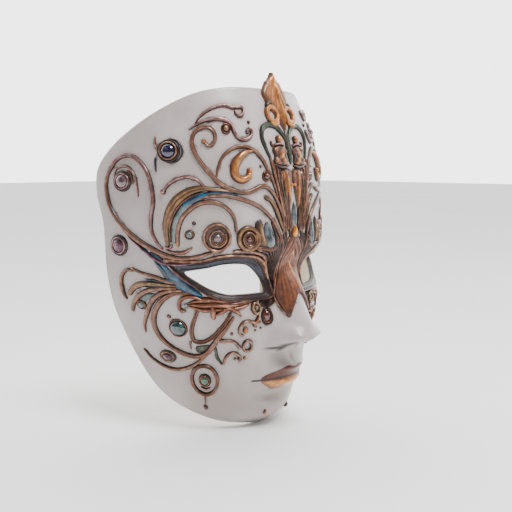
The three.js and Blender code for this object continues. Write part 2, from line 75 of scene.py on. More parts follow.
# The rim and the lines of the eye on the wearer's left side, as (u, z).
RIM = [(0, 126), (50, 125.5), (77, 121), (101, 111), (121, 98.5), (137, 85), (147, 71), (147, 55), (142, 35),
       (142, 0), (138, -33), (126, -68), (107, -94), (80, -106), (40, -110.5), (0, -112)]
POLE = np.array([0.0, -38.0])  # the place that the rings of the shell's mesh shrink to
AROUND, OUTER_RINGS, INNER_RINGS = 320, 150, 60  # points round the shell's mesh, and rings on each side of it
RIM_ROUND = 0.9  # radius that eases the edge of the rim
EYE_HOLE = [(84, 4), (78, 5.5), (68, 7), (58, 9), (46, 9.5), (37, 8), (29, 3.5), (24, -3), (24, -10.5),
            (31, -11.5), (44, -11.5), (55, -11), (66, -7.5), (75, -2.5)]
EYE_TRIM = [(98, 12.6), (85, 12.4), (73, 13), (62, 15.8), (46, 17), (32, 15), (21, 8), (17, -4), (17.5, -15),
            (30, -16.6), (45, -16.6), (57, -16), (69, -12), (81, -3.4)]
EYE_AXIS = 0.58  # radians from the centre line to the way the eye hole is cut
CUTTER_REACH = 160.0  # how far back the eye's cutter goes
MOUTH_LINE = -72.6
LIP_HALF, UPPER_LIP, LOWER_LIP = 22.5, 9.2, 11.8  # half width of the painted lips, and their heights
# Centres and half sizes of two spots of painted shade: the dark nostrils, and the dark line round the wing of
# the nose.
NOSTRIL_SHADE, NOSTRIL_SHADE_HALF = (9.2, -49.6), (5.2, 4.7)
CREASE_SHADE, CREASE_SHADE_HALF = (14.5, -50.8), (8, 1.7)  # the dark line round the wing of the nose
PAINT_REACH = 15  # how far from the ornament, the rim and the eye holes the paint still changes

# ---- The ribbon hardware ----
HINGE = (124.0, 22.0)  # (u, z) of both hinges
PATCH_ACROSS, PATCH_HIGH, PATCH_THICK, PATCH_CORNER, PATCH_BACK = 18.0, 24.0, 1.8, 3.0, 2.0
SEAM, STITCH_STEP, THREAD_RADIUS = 0.91, 2.6, 0.34  # SEAM is a share of the way to the patch's edge
TUNNEL_RADIUS, TUNNEL_BORE, TUNNEL_LENGTH = 2.4, 1.2, 12.0
LOOP_THICK, LOOP_EDGE = 1.2, 0.3
LOOP_ALONG = (-0.8, 3.4, 5.2, 10.2, 12.0)  # lines of the plate, from the pin: window, bar, slot, end bar
LOOP_HIGH = (-10.0, -7.0, 7.0, 10.0)  # its lines from the bottom to the top
PIN = [(0.02, -9.4), (0.6, -9.4), (0.8, -9.2), (0.8, 9.2), (0.6, 9.4), (0.02, 9.4)]  # (radius, height)

# ---- Camera and light, in metres, degrees and watts ----
CAMERA_PLACE = (-0.3932, -0.4270, 0.0765)
CAMERA_AZIMUTH, CAMERA_ELEVATION = -47.54, 7.18
LENS = 52.11  # millimetres, as SENSOR
SENSOR, CLIP = 36, (0.01, 20)
LIGHTS = [("key", (-0.1, -0.65, 1.15), 0.45, 22), ("fill", (0.7, -0.8, 0.25), 0.8, 2)]  # place, size, power
LIT_POINT = (0, -0.06, 0.01)
AMBIENT, BACKDROP, BACKDROP_WAY = 0.24, 4.0, (0.7, 0.7, 0.1)
FLOOR_HALF, FLOOR_GAP = 6.0, 0.0005

# ---- How raised work is drawn ----
STEP = 0.7  # spacing of the points along a strand
FOOT = -0.3  # how deep the ornament sits in the face of the shell
EDGE = 0.15  # height of a raised line at its edges
SKIRT = 0.12  # how far its foot spreads, for each half width
SECTION, WIDE_SECTION = 11, 19  # points across a line
UNDER = 8  # rows across the hidden underside of a wide piece, so that it follows the shell
DOME = [(0, 1), (0.3, 0.96), (0.55, 0.85), (0.78, 0.62), (0.92, 0.38), (1, 0.08)]  # (way out, height)
SIDES = (("_l", False), ("_r", True))  # the ending of the name, and whether the piece is mirrored


# ---- Small maths ----
def bump(distance, width):
    return np.exp(-((distance / width) ** 2))


def smoothstep(t):
    t = np.clip(t, 0, 1)
    return t * t * (3 - 2 * t)


def profile(knots):
    """A smooth function through (position, value) pairs, with the mean slope of its neighbours at each."""
    at, value = np.array(knots, float).T
    low = np.clip(np.arange(len(at)) - 1, 0, None)
    high = np.clip(np.arange(len(at)) + 1, None, len(at) - 1)
    slope = (value[high] - value[low]) / (at[high] - at[low])

    def evaluate(z):
        z = np.asarray(z, float)
        i = np.clip(np.searchsorted(at, z) - 1, 0, len(at) - 2)
        span = at[i + 1] - at[i]
        t = (z - at[i]) / span
        hump = t * (1 - t) * span
        return (value[i] + (value[i + 1] - value[i]) * t * t * (3 - 2 * t)
                + hump * (slope[i] * (1 - t) - slope[i + 1] * t))

    return evaluate


half_width = profile(HALF_WIDTHS)
depth = profile(DEPTHS)


def relief(x, z, hollow=0.0):
    """How far the features stand out of the plain curve of the shell."""
    ax = np.abs(x)
    down = np.clip((8 - z) / 48, 0, 1)
    nose_height = (24.5 - 3.5 * hollow) * down ** 1.2
    nose_width = 7 - 1.5 * hollow + 8 * down ** 1.6
    above_base = 1 - smoothstep((-40 + 3 * hollow - z) / 15)
    lips = np.maximum(0, 1 - (ax / 25) ** 2)
    return (
        3.5 * bump(ax - 26, 20) * bump(z - 19, 9)  # brow
        - 8 * bump(ax - 31, 19) * bump(z, 13)  # eye socket
        - 3 * bump(ax, 9) * bump(z - 6, 9)  # root of the nose
        + 4 * bump(ax - 44, 20) * bump(z + 30, 17)  # cheekbone
        + nose_height * np.exp(-((ax / nose_width) ** 2.4)) * above_base
        + (8 - 3 * hollow) * bump(ax - 13 + 1.5 * hollow, 6) * bump(z + 41 - 3 * hollow, 7)  # nostrils
        + 6.5 * bump(ax, 26) * bump(z + 66, 15)  # round of the mouth
        + 3.0 * bump(ax, 8) * bump(z + 45.5, 3.2)  # round of the tip of the nose
        - 0.7 * bump(ax, 2.6) * bump(z + 59, 4)  # groove over the lip
        + 5.2 * lips * bump(z + 66, 4.4)  # upper lip
        + 6 * lips ** 0.8 * bump(z + 77.4, 5)  # lower lip
        - 3.5 * bump(ax, 20) * bump(z + 86, 4.5)  # fold above the chin
        + 4 * bump(ax, 17) * bump(z + 96, 9)  # chin
    )


def surface(u, z, inset=0.0, hollow=0.0):
    u, z = np.broadcast_arrays(np.asarray(u, float), np.asarray(z, float))
    angle = u / MAP
    x = (half_width(z) - inset) * np.sin(angle)
    front = (depth(z) - inset) * np.cos(angle) * (1 + SQUARE * np.sin(angle) ** 2)
    fade = np.sqrt(np.clip(np.cos(angle), 0, None))
    return np.stack([x, -front - relief(x, z, hollow) * fade, z], -1)


def on_face(u, z, lift=0.0):
    """Points of the outer surface at (u, z), moved outwards by lift along its normal."""
    reach = 0.5
    across = surface(u + reach, z) - surface(u - reach, z)
    up = surface(u, z + reach) - surface(u, z - reach)
    normal = np.cross(across, up)
    normal /= np.linalg.norm(normal, axis=-1, keepdims=True)
    return surface(u, z) + normal * np.asarray(lift, float)[..., None]


# ---- Routes and outlines ----
def spline(points, count=0, closed=False):
    """Centripetal spline through the points: evenly spaced at STEP, or with count points in each span."""
    p = np.array(points, float)
    if closed:
        p = np.vstack([p[-1], p, p[0], p[1]])
    else:
        p = np.vstack([2 * p[0] - p[1], p, 2 * p[-1] - p[-2]])
    out = []
    for a, b, c, d in zip(p, p[1:], p[2:], p[3:]):
        t1 = np.linalg.norm(b - a) ** 0.5
        t2 = t1 + np.linalg.norm(c - b) ** 0.5
        t3 = t2 + np.linalg.norm(d - c) ** 0.5
        t = np.linspace(t1, t2, count or 24, endpoint=False)[:, None]
        ab = (t1 - t) / t1 * a + t / t1 * b
        bc = (t2 - t) / (t2 - t1) * b + (t - t1) / (t2 - t1) * c
        cd = (t3 - t) / (t3 - t2) * c + (t - t2) / (t3 - t2) * d
        abc = (t2 - t) / t2 * ab + t / t2 * bc
        bcd = (t3 - t) / (t3 - t1) * bc + (t - t1) / (t3 - t1) * cd
        out.append((t2 - t) / (t2 - t1) * abc + (t - t1) / (t2 - t1) * bcd)
    if not closed:
        out.append(p[-2][None])
    elif not count:
        out.append(out[0][:1])
    path = np.vstack(out)
    return path if count else evenly(path, closed)


def evenly(path, closed=False, step=STEP, count=0):
    """Points at equal distances along the path: one for each step, or count of them."""
    length = np.concatenate([[0], np.cumsum(np.linalg.norm(np.diff(path, axis=0), axis=1))])
    count = count or max(6, int(round(length[-1] / step)))
    at = np.linspace(0, length[-1], count, endpoint=not closed)
    return np.stack([np.interp(at, length, path[:, k]) for k in (0, 1)], -1)


def ellipse(centre, across, high=None, count=40):
    angle = np.arange(count) / count * 2 * math.pi
    high = across if high is None else high
    return np.stack([centre[0] + across * np.cos(angle), centre[1] + high * np.sin(angle)], -1)


def spiral(centre, outer, inner, start, turns, count=30):
    """From the outer end of a spiral to its eye. Angles are in turns from the +u direction."""
    t = np.linspace(0, 1, count)
    angle = 2 * math.pi * (start + turns * t)
    radius = outer + (inner - outer) * t
    return np.stack([centre[0] + radius * np.cos(angle), centre[1] + radius * np.sin(angle)], -1)


def both_sides(half):
    return list(half) + [(-u, z) for u, z in reversed(half[1:-1])]


# ---- Meshes ----
def skin(points, look, capped=True, **attributes):
    """One closed skin from rows of points [row, column, xyz]: each row is a ring. look names its material."""
    rows, columns = points.shape[:2]
    index = np.arange(rows * columns).reshape(rows, columns)
    following = np.roll(index, -1, axis=1)
    faces = np.stack([index[:-1], following[:-1], following[1:], index[1:]], -1).reshape(-1, 4).tolist()
    if capped:
        faces.append(index[0, ::-1].tolist())
        faces.append(index[-1].tolist())
    values = {name: np.broadcast_to(value, (rows, columns)).ravel() for name, value in attributes.items()}
    return {"points": points.reshape(-1, 3), "faces": faces, "look": look, "values": values}


def mesh_object(name, skins, mirror=False, sharp=50):
    """One object from skins, with each skin's look as a material and its attributes on the points."""
    points = np.vstack([s["points"] for s in skins])
    names = sorted({s["look"] for s in skins})
    faces, chosen, offset = [], [], 0
    for s in skins:
        faces += [[i + offset for i in (face[::-1] if mirror else face)] for face in s["faces"]]
        chosen += [names.index(s["look"])] * len(s["faces"])
        offset += len(s["points"])
    mesh = bpy.data.meshes.new(name)
    mesh.from_pydata((points * ((-1, 1, 1) if mirror else 1) * MM).tolist(), [], faces)
    for key in ("high", "run"):
        values = np.concatenate([s["values"].get(key, np.zeros(len(s["points"]))) for s in skins])
        mesh.attributes.new(key, "FLOAT", "POINT").data.foreach_set("value", values.astype(np.float32))
    for look in names:
        mesh.materials.append(MATERIALS[look])
    mesh.polygons.foreach_set("material_index", chosen)
    mesh.polygons.foreach_set("use_smooth", [True] * len(faces))
    mesh.update()
    mesh.set_sharp_from_angle(angle=math.radians(sharp))
    made = bpy.data.objects.new(name, mesh)
    bpy.context.collection.objects.link(made)
    return made


def strand(route, halves, height, look="copper", closed=False, groove=0.0, ball=0.0, base=0.0):
    """A raised line with a rounded section: its half widths, a groove down its middle, a ball at its end."""
    path = spline(route, closed=closed)
    step = np.roll(path, -1, axis=0) - np.roll(path, 1, axis=0) if closed else np.gradient(path, axis=0)
    step /= np.linalg.norm(step, axis=1, keepdims=True)
    side = np.stack([step[:, 1], -step[:, 0]], -1)
    run = np.arange(len(path)) * STEP
    fraction = np.linspace(0, 1, len(path))
    half = np.interp(fraction, np.linspace(0, 1, len(halves)), halves)
    top = height * np.sqrt(half / max(halves))
    if not closed:  # the ends narrow to a point and sink
        end = np.clip(np.minimum(run, run[-1] - run) / (1.1 * half), 0, 1)
        half = half * np.sqrt(np.clip(1 - (1 - end) ** 2, 0.01, 1))
        top = top * (0.45 + 0.55 * np.sqrt(end))
    # s runs across the line from -1 to 1, and one step further at each side for the foot.
    s = np.sin(np.linspace(-math.pi / 2, math.pi / 2, SECTION if max(halves) < 2 else WIDE_SECTION))
    rounded = (1 - np.abs(s) ** 2.1) ** 0.62 - groove * bump(s, 0.24)
    s = np.concatenate([[s[0] - SKIRT], s, [s[-1] + SKIRT]])
    rounded = np.concatenate([[0], rounded, [0]])
    foot = np.concatenate([[FOOT], np.full(len(s) - 2, EDGE), [FOOT]])
    u = path[:, :1] + side[:, :1] * half[:, None] * s
    z = path[:, 1:] + side[:, 1:] * half[:, None] * s
    lift = base + foot + (top[:, None] - EDGE) * rounded
    if base:
        lift[:, [0, -1]] = FOOT
    points = on_face(u, z, lift)
    if closed:
        points = np.concatenate([points, points[:1]])
        run = np.append(run, run[-1] + STEP)
    skins = [skin(points, look, capped=not closed, high=rounded[None], run=run[:, None])]
    if ball:
        skins += dome(path[-1], ball, height * 1.2, look=look)
    return skins


def flow(first, second, ridges, height, look):
    """A sheet of locks between two routes that run side by side."""
    a, b = spline(first), spline(second)
    count = max(len(a), len(b))
    a, b = evenly(a, count=count), evenly(b, count=count)
    way, over = np.gradient(a, axis=0), b - a
    if np.sum(way[:, 0] * over[:, 1] - way[:, 1] * over[:, 0]) > 0:
        a, b = b, a
    f = np.linspace(0, 1, ridges * 8 + 1)
    run = np.arange(count) * STEP
    sway = 0.06 * np.sin(run / 9)[:, None] * np.sin(f * math.pi)
    rounded = np.abs(np.sin(math.pi * ridges * (f + sway))) ** 0.8
    end = smoothstep(np.minimum(run, run[-1] - run) / 3)[:, None]
    lift = EDGE + height * (0.3 + 0.7 * rounded) * (0.25 + 0.75 * end)
    high = 0.25 + 0.75 * rounded
    under = np.linspace(1, 0, UNDER + 2)
    f = np.concatenate([[0], f, under[:-1]])
    lift = np.pad(lift, ((0, 0), (1, UNDER + 1)), constant_values=FOOT)
    high = np.pad(high, ((0, 0), (1, UNDER + 1)))
    grid = a[:, None] + (b - a)[:, None] * f[None, :, None]
    return [skin(on_face(grid[..., 0], grid[..., 1], lift), look, high=high, run=run[:, None])]


def boss(outline, section, middle=None, look="gold", rings=12, pattern=None, inside=False):
    """A raised piece inside an outline. section is (way out from the middle, height) pairs."""
    outline = np.asarray(outline, float)
    following = np.roll(outline, -1, axis=0)
    if np.sum(outline[:, 0] * following[:, 1] - outline[:, 1] * following[:, 0]) < 0:
        outline = outline[::-1]
    middle = outline.mean(axis=0) if middle is None else np.array(middle, float)
    out = np.linspace(0.02, 1, rings)
    at, value = np.array(section, float).T
    lift = np.repeat(np.interp(out, at, value)[:, None], len(outline), axis=1)
    grid = middle + (outline - middle) * out[:, None, None]
    high = lift / value.max()
    # Carved hollows get a lower high, so the paint darkens them: patina with painted shade in the grooves.
    if pattern is not None:
        carved = pattern(grid[..., 0], grid[..., 1], out[:, None])
        lift = lift + carved
        high = 0.62 * high + 0.55 * carved / np.abs(carved).max()
    high = np.clip(high, 0, 1.1)
    under = np.concatenate([[1 + SKIRT / 3], np.linspace(1, 0.02, UNDER)])
    grid = np.concatenate([grid, middle + (outline - middle) * under[:, None, None]])[::-1]
    lift = np.pad(lift, ((0, UNDER + 1), (0, 0)), constant_values=FOOT)[::-1]
    high = np.pad(high, ((0, UNDER + 1), (0, 0)))[::-1]
    if inside:
        lift = -SHELL - lift
        grid, lift, high = grid[:, ::-1], lift[:, ::-1], high[:, ::-1]
    points = on_face(grid[..., 0], grid[..., 1], lift)
    return [skin(points, look, high=high, run=np.arange(len(outline))[None] * STEP)]


def dome(centre, radius, height, high_radius=None, look="gold", base=0.0):
    section = [(out, base + h * height) for out, h in DOME]
    return boss(ellipse(centre, radius, high_radius, 28), section, look=look, rings=12)


def hoop(centre, across, high, half, height, look, groove=0.0):
    """A raised line that runs round an ellipse."""
    return strand(ellipse(centre, across, high), [half], height, look, closed=True, groove=groove)


def gem(centre, radius, high_radius=None, height=2.8, stone="teal_pearl", ring="copper"):
    """A domed stone in two bezel rings."""
    high_radius = high_radius or radius
    return (dome(centre, radius * 0.7, height, high_radius * 0.7, stone, base=0.3)
            + hoop(centre, radius * 0.76, high_radius * 0.76, radius * 0.13, height * 0.7, ring)
            + hoop(centre, radius * 0.95, high_radius * 0.95, radius * 0.11, height * 0.42, "dark"))


def rolled(centre, radius, height, thick, look, eye, eye_radius):
    """A rosette: a heavy ring round a dark hollow, with a line curled inside it round a pearl."""
    u, z = centre
    curl = spiral((u - 0.05 * radius, z - 0.05 * radius), radius * 0.6, radius * 0.42, 0.4, 1.5, 30)
    return (boss(ellipse(centre, radius * 0.95), [(0, 0.5), (0.9, 0.5), (1, 0.1)], look="umber")
            + strand(ellipse(centre, radius * (1 - thick)), [radius * thick], height, look, closed=True,
                     groove=0.1)
            + strand(curl, [radius * 0.09, radius * 0.08, radius * 0.05], height * 0.75, "copper", base=0.3)
            + dome((u - 0.02 * radius, z - 0.06 * radius), radius * eye_radius, height * 0.8, look=eye,
                   base=0.4))


# ---- Materials ----
def srgb(red, green, blue):
    """A colour from its 0-255 display values, as Blender's linear colour."""
    return tuple(((c / 255 + 0.055) / 1.055) ** 2.4 if c > 10 else c / 3294
                 for c in (red, green, blue)) + (1.0,)


class Nodes:
    """Builds one material's nodes. Sockets are passed as (node, output name)."""

    def __init__(self, name):
        self.material = bpy.data.materials.new(name)
        self.material.use_nodes = True
        self.tree = self.material.node_tree
        self.shader = self.tree.nodes["Principled BSDF"]
        self.place = self.tree.nodes.new("ShaderNodeTexCoord").outputs["Object"]

    def link(self, source, target):
        self.tree.links.new(source, target)

    def attribute(self, name):
        node = self.tree.nodes.new("ShaderNodeAttribute")
        node.attribute_name = name
        return node.outputs["Fac"]

    def noise(self, scale, detail=3.0, roughness=0.55, stretch=None):
        node = self.tree.nodes.new("ShaderNodeTexNoise")
        node.inputs["Scale"].default_value = scale
        node.inputs["Detail"].default_value = detail
        node.inputs["Roughness"].default_value = roughness
        place = self.place
        if stretch:
            mapping = self.tree.nodes.new("ShaderNodeMapping")
            mapping.inputs["Scale"].default_value = stretch
            self.link(place, mapping.inputs["Vector"])
            place = mapping.outputs["Vector"]
        self.link(place, node.inputs["Vector"])
        return node.outputs["Fac"]

    def cells(self, scale, feature="F1"):
        node = self.tree.nodes.new("ShaderNodeTexVoronoi")
        node.feature = feature
        node.inputs["Scale"].default_value = scale
        self.link(self.place, node.inputs["Vector"])
        return node.outputs["Distance"]

    def map(self, value, low, high, start=0.0, end=1.0):
        node = self.tree.nodes.new("ShaderNodeMapRange")
        node.interpolation_type = "SMOOTHSTEP"
        for socket, number in zip(("From Min", "From Max", "To Min", "To Max"), (low, high, start, end)):
            node.inputs[socket].default_value = number
        self.link(value, node.inputs["Value"])
        return node.outputs["Result"]

    def varied(self, low, high, scale, detail=3.0):
        """A value that drifts between low and high over the surface."""
        return self.map(self.noise(scale, detail), 0.3, 0.7, low, high)

    def math(self, operation, a, b):
        node = self.tree.nodes.new("ShaderNodeMath")
        node.operation = operation
        for socket, value in zip(node.inputs, (a, b)):
            if isinstance(value, (int, float)):
                socket.default_value = value
            else:
                self.link(value, socket)
        return node.outputs[0]

    def mix(self, factor, a, b):
        node = self.tree.nodes.new("ShaderNodeMix")
        node.data_type = "RGBA"
        for socket, value in zip((node.inputs[0], node.inputs[6], node.inputs[7]), (factor, a, b)):
            if isinstance(value, (int, float, tuple)):
                socket.default_value = value
            else:
                self.link(value, socket)
        return node.outputs[2]

    def bump(self, height, distance, under=None):
        node = self.tree.nodes.new("ShaderNodeBump")
        node.inputs["Distance"].default_value = distance * MM
        node.inputs["Strength"].default_value = 1.0
        self.link(height, node.inputs["Height"])
        if under is not None:
            self.link(under, node.inputs["Normal"])
        return node.outputs["Normal"]

    def finish(self, colour, roughness, metallic, normal, coat=0.0, coat_roughness=0.1, ior=1.5):
        for socket, value in (("Base Color", colour), ("Roughness", roughness), ("Metallic", metallic),
                              ("Normal", normal)):
            if isinstance(value, (int, float)):
                self.shader.inputs[socket].default_value = value
            else:
                self.link(value, self.shader.inputs[socket])
        self.shader.inputs["Coat Weight"].default_value = coat
        self.shader.inputs["Coat Roughness"].default_value = coat_roughness
        self.shader.inputs["IOR"].default_value = ior
        return self.material


def relief_paint(name, deep, body, crest, tint, metallic=0.5, roughness=0.36):
    """Metallic paint on raised work: dark at the foot with patina and painted shade, lighter on top with
    rubbed wear and a painted highlight, and tinted in patches.
    """
    n = Nodes(name)
    deep, body, crest, tint = (srgb(*colour) for colour in (deep, body, crest, tint))
    high = n.attribute("high")
    blotch = n.noise(95, 4)
    grain = n.noise(1400, 2)
    # The height on the raised work with a little noise: it sets both the rubbed wear and the painted light.
    wear_and_light = n.math("ADD", high, n.varied(-0.12, 0.12, 260, 3))
    # Dark at the foot of the raised work: patina in the hollows and painted shade.
    colour = n.mix(n.map(wear_and_light, 0.3, 0.86), deep, body)
    colour = n.mix(n.map(blotch, 0.5, 0.72, 0, 0.75), colour, tint)
    # Lighter on top: rubbed wear and a painted highlight.
    colour = n.mix(n.map(wear_and_light, 0.86, 1.12, 0, 0.55), colour, crest)
    colour = n.mix(n.map(grain, 0.55, 0.8, 0, 0.35), colour, deep)
    rough = n.math("ADD", n.map(wear_and_light, 0.1, 0.95, roughness + 0.22, roughness),
                   n.map(grain, 0.3, 0.7, -0.06, 0.06))
    shine = n.map(wear_and_light, 0.1, 0.7, 0.1, metallic)
    normal = n.bump(n.noise(260, 3), 0.12)
    normal = n.bump(grain, 0.02, normal)
    return n.finish(colour, rough, shine, normal, coat=0.35, coat_roughness=0.18)


def glazed(name, deep, bright, edge):
    """Poured enamel: dark along its thin edges, a dark outline with painted shade at the foot, and fine pits
    under its gloss.
    """
    n = Nodes(name)
    deep, bright, edge = (srgb(*colour) for colour in (deep, bright, edge))
    high = n.attribute("high")
    cloud = n.noise(130, 4)
    colour = n.mix(n.map(cloud, 0.38, 0.62), deep, bright)
    # Dark along the thin edges: a dark outline with painted shade at the foot.
    colour = n.mix(n.map(high, 0.05, 0.4, 1, 0), colour, edge)
    rough = n.varied(0.16, 0.3, 700, 2)
    normal = n.bump(n.noise(330, 3), 0.1)
    return n.finish(colour, rough, 0.0, normal, coat=0.5, coat_roughness=0.1)


def stone(name, body, cloud, glow):
    """A polished cabochon with clouded layers."""
    n = Nodes(name)
    body, cloud, glow = (srgb(*colour) for colour in (body, cloud, glow))
    layers = n.noise(240, 5, 0.6, stretch=(1, 1, 2.2))
    colour = n.mix(n.map(layers, 0.38, 0.6), body, cloud)
    colour = n.mix(n.map(n.noise(520, 3), 0.58, 0.72, 0, 0.8), colour, glow)
    rough = n.varied(0.06, 0.16, 900, 2)
    normal = n.bump(n.noise(600, 2), 0.02)
    return n.finish(colour, rough, 0.0, normal, coat=1.0, coat_roughness=0.03, ior=1.55)


def porcelain():
    """The painted outer face: soft white, with dirt and painted shade round the ornament, painted shade
    towards the bottom, bronzed lips with painted shade at the lower lip's edges, painted shade along the
    mouth and at the nostrils, and a dark eye edge.
    """
    n = Nodes("porcelain_white")
    cloud = n.noise(22, 4)
    fine = n.noise(900, 3)
    colour = n.mix(n.map(cloud, 0.35, 0.65), srgb(186, 177, 176), srgb(170, 160, 157))
    near = n.math("ADD", n.attribute("near"), n.varied(-1.1, 1.1, 160, 4))
    # Brownish near the ornament: dirt and painted shade.
    colour = n.mix(n.map(near, 0.2, 4.5, 0.3, 0), colour, srgb(168, 152, 142))
    # A dark line at the ornament's foot: dark wash and painted shade.
    colour = n.mix(n.map(near, -0.9, 0.7, 0.85, 0), colour, srgb(60, 42, 40))
    # Darker and warmer towards the bottom, in patches: painted shade.
    low = n.attribute("low")
    colour = n.mix(n.math("MULTIPLY", low, n.map(cloud, 0.3, 0.7, 0.35, 0.7)), colour, srgb(160, 146, 138))
    specks = n.map(n.cells(420), 0.0, 0.09, 1, 0)
    colour = n.mix(n.math("MULTIPLY", specks, n.map(n.noise(70, 2), 0.5, 0.65, 0, 0.6)), colour,
                   srgb(120, 104, 94))
    rim = n.map(n.attribute("rim"), 0.2, 2.4, 0.6, 0)
    colour = n.mix(n.math("MULTIPLY", rim, n.map(n.noise(120, 3), 0.4, 0.6)), colour, srgb(160, 138, 118))
    hole = n.map(n.attribute("hole"), 2.6, 3.4, 1, 0)
    colour = n.mix(hole, colour, srgb(34, 30, 34))
    upper = n.map(n.attribute("upper_lip"), -0.35, 0.35)
    lower = n.map(n.attribute("lower_lip"), -0.35, 0.35)
    streak = n.noise(300, 5)
    bronze = n.mix(n.map(streak, 0.3, 0.7), srgb(62, 27, 15), srgb(98, 50, 31))
    gold = n.mix(n.map(streak, 0.3, 0.7), srgb(170, 102, 52), srgb(216, 152, 90))
    colour = n.mix(upper, colour, bronze)
    # The lower lip darker towards its edges and gold in its middle: painted shade and a painted highlight.
    gold = n.mix(n.map(n.attribute("lower_lip"), 0.6, 3.4, 0.75, 0), gold, srgb(84, 50, 34))
    colour = n.mix(lower, colour, gold)
    # A dark line along the mouth and past its corners: painted shade in the groove between the lips.
    colour = n.mix(n.map(n.attribute("mouth"), 0.35, 1.3, 1, 0), colour, srgb(52, 32, 26))
    # Dark nostrils and a dark line round the wing of the nose: painted shade.
    colour = n.mix(n.map(n.attribute("nostril_shade"), 0.35, 1.4, 0.96, 0), colour, srgb(24, 20, 19))
    lips = n.math("MAXIMUM", upper, lower)
    rough = n.math("ADD", n.map(lips, 0, 1, 0.42, 0.34), n.map(fine, 0.3, 0.7, -0.05, 0.08))
    rough = n.math("ADD", rough, n.map(near, 0, 5, 0.15, 0))
    metal = n.math("MULTIPLY", lips, 0.35)
    normal = n.bump(n.noise(60, 3), 0.25)
    normal = n.bump(n.noise(240, 4, stretch=(1, 1, 2.5)), 0.07, normal)
    normal = n.bump(fine, 0.02, normal)
    return n.finish(colour, rough, metal, normal, coat=0.25, coat_roughness=0.22)


def primed_inside():
    """The hollow side: laid paper under a thin coat of primer."""
    n = Nodes("primed_inside")
    sheet = n.cells(38, "SMOOTH_F1")
    fibre = n.noise(500, 5, stretch=(1, 1, 4))
    colour = n.mix(n.map(n.noise(26, 4), 0.35, 0.65), srgb(214, 203, 184), srgb(192, 176, 152))
    colour = n.mix(n.map(fibre, 0.5, 0.75, 0, 0.4), colour, srgb(150, 130, 104))
    colour = n.mix(n.map(n.attribute("hole"), 2.2, 3.6, 0.85, 0), colour, srgb(60, 46, 40))
    rough = n.map(fibre, 0.3, 0.7, 0.72, 0.9)
    normal = n.bump(sheet, 0.5)
    normal = n.bump(fibre, 0.12, normal)
    return n.finish(colour, rough, 0.0, normal)


def leather():
    n = Nodes("leather")
    pores = n.cells(900)
    wear = n.noise(180, 4)
    colour = n.mix(n.map(wear, 0.35, 0.65), srgb(66, 44, 32), srgb(98, 68, 48))
    colour = n.mix(n.map(n.attribute("high"), 0.0, 0.6, 0.8, 0), colour, srgb(38, 26, 20))
    colour = n.mix(n.map(pores, 0.0, 0.35, 0.5, 0), colour, srgb(40, 26, 20))
    rough = n.map(wear, 0.3, 0.7, 0.55, 0.75)
    normal = n.bump(pores, 0.15)
    return n.finish(colour, rough, 0.0, normal)


def thread():
    n = Nodes("waxed_thread")
    twist = n.noise(1500, 3, stretch=(1, 1, 3))
    colour = n.mix(n.map(twist, 0.35, 0.65), srgb(196, 178, 146), srgb(146, 124, 92))
    return n.finish(colour, n.map(twist, 0.3, 0.7, 0.6, 0.8), 0.0, n.bump(twist, 0.08))


def brass():
    n = Nodes("brass")
    tarnish = n.noise(160, 4)
    scratch = n.noise(900, 3, stretch=(1, 6, 1))
    colour = n.mix(n.map(tarnish, 0.4, 0.7), srgb(206, 168, 98), srgb(132, 98, 56))
    rough = n.math("ADD", n.map(tarnish, 0.4, 0.7, 0.26, 0.46), n.map(scratch, 0.3, 0.7, -0.05, 0.08))
    return n.finish(colour, rough, 0.95, n.bump(scratch, 0.03))


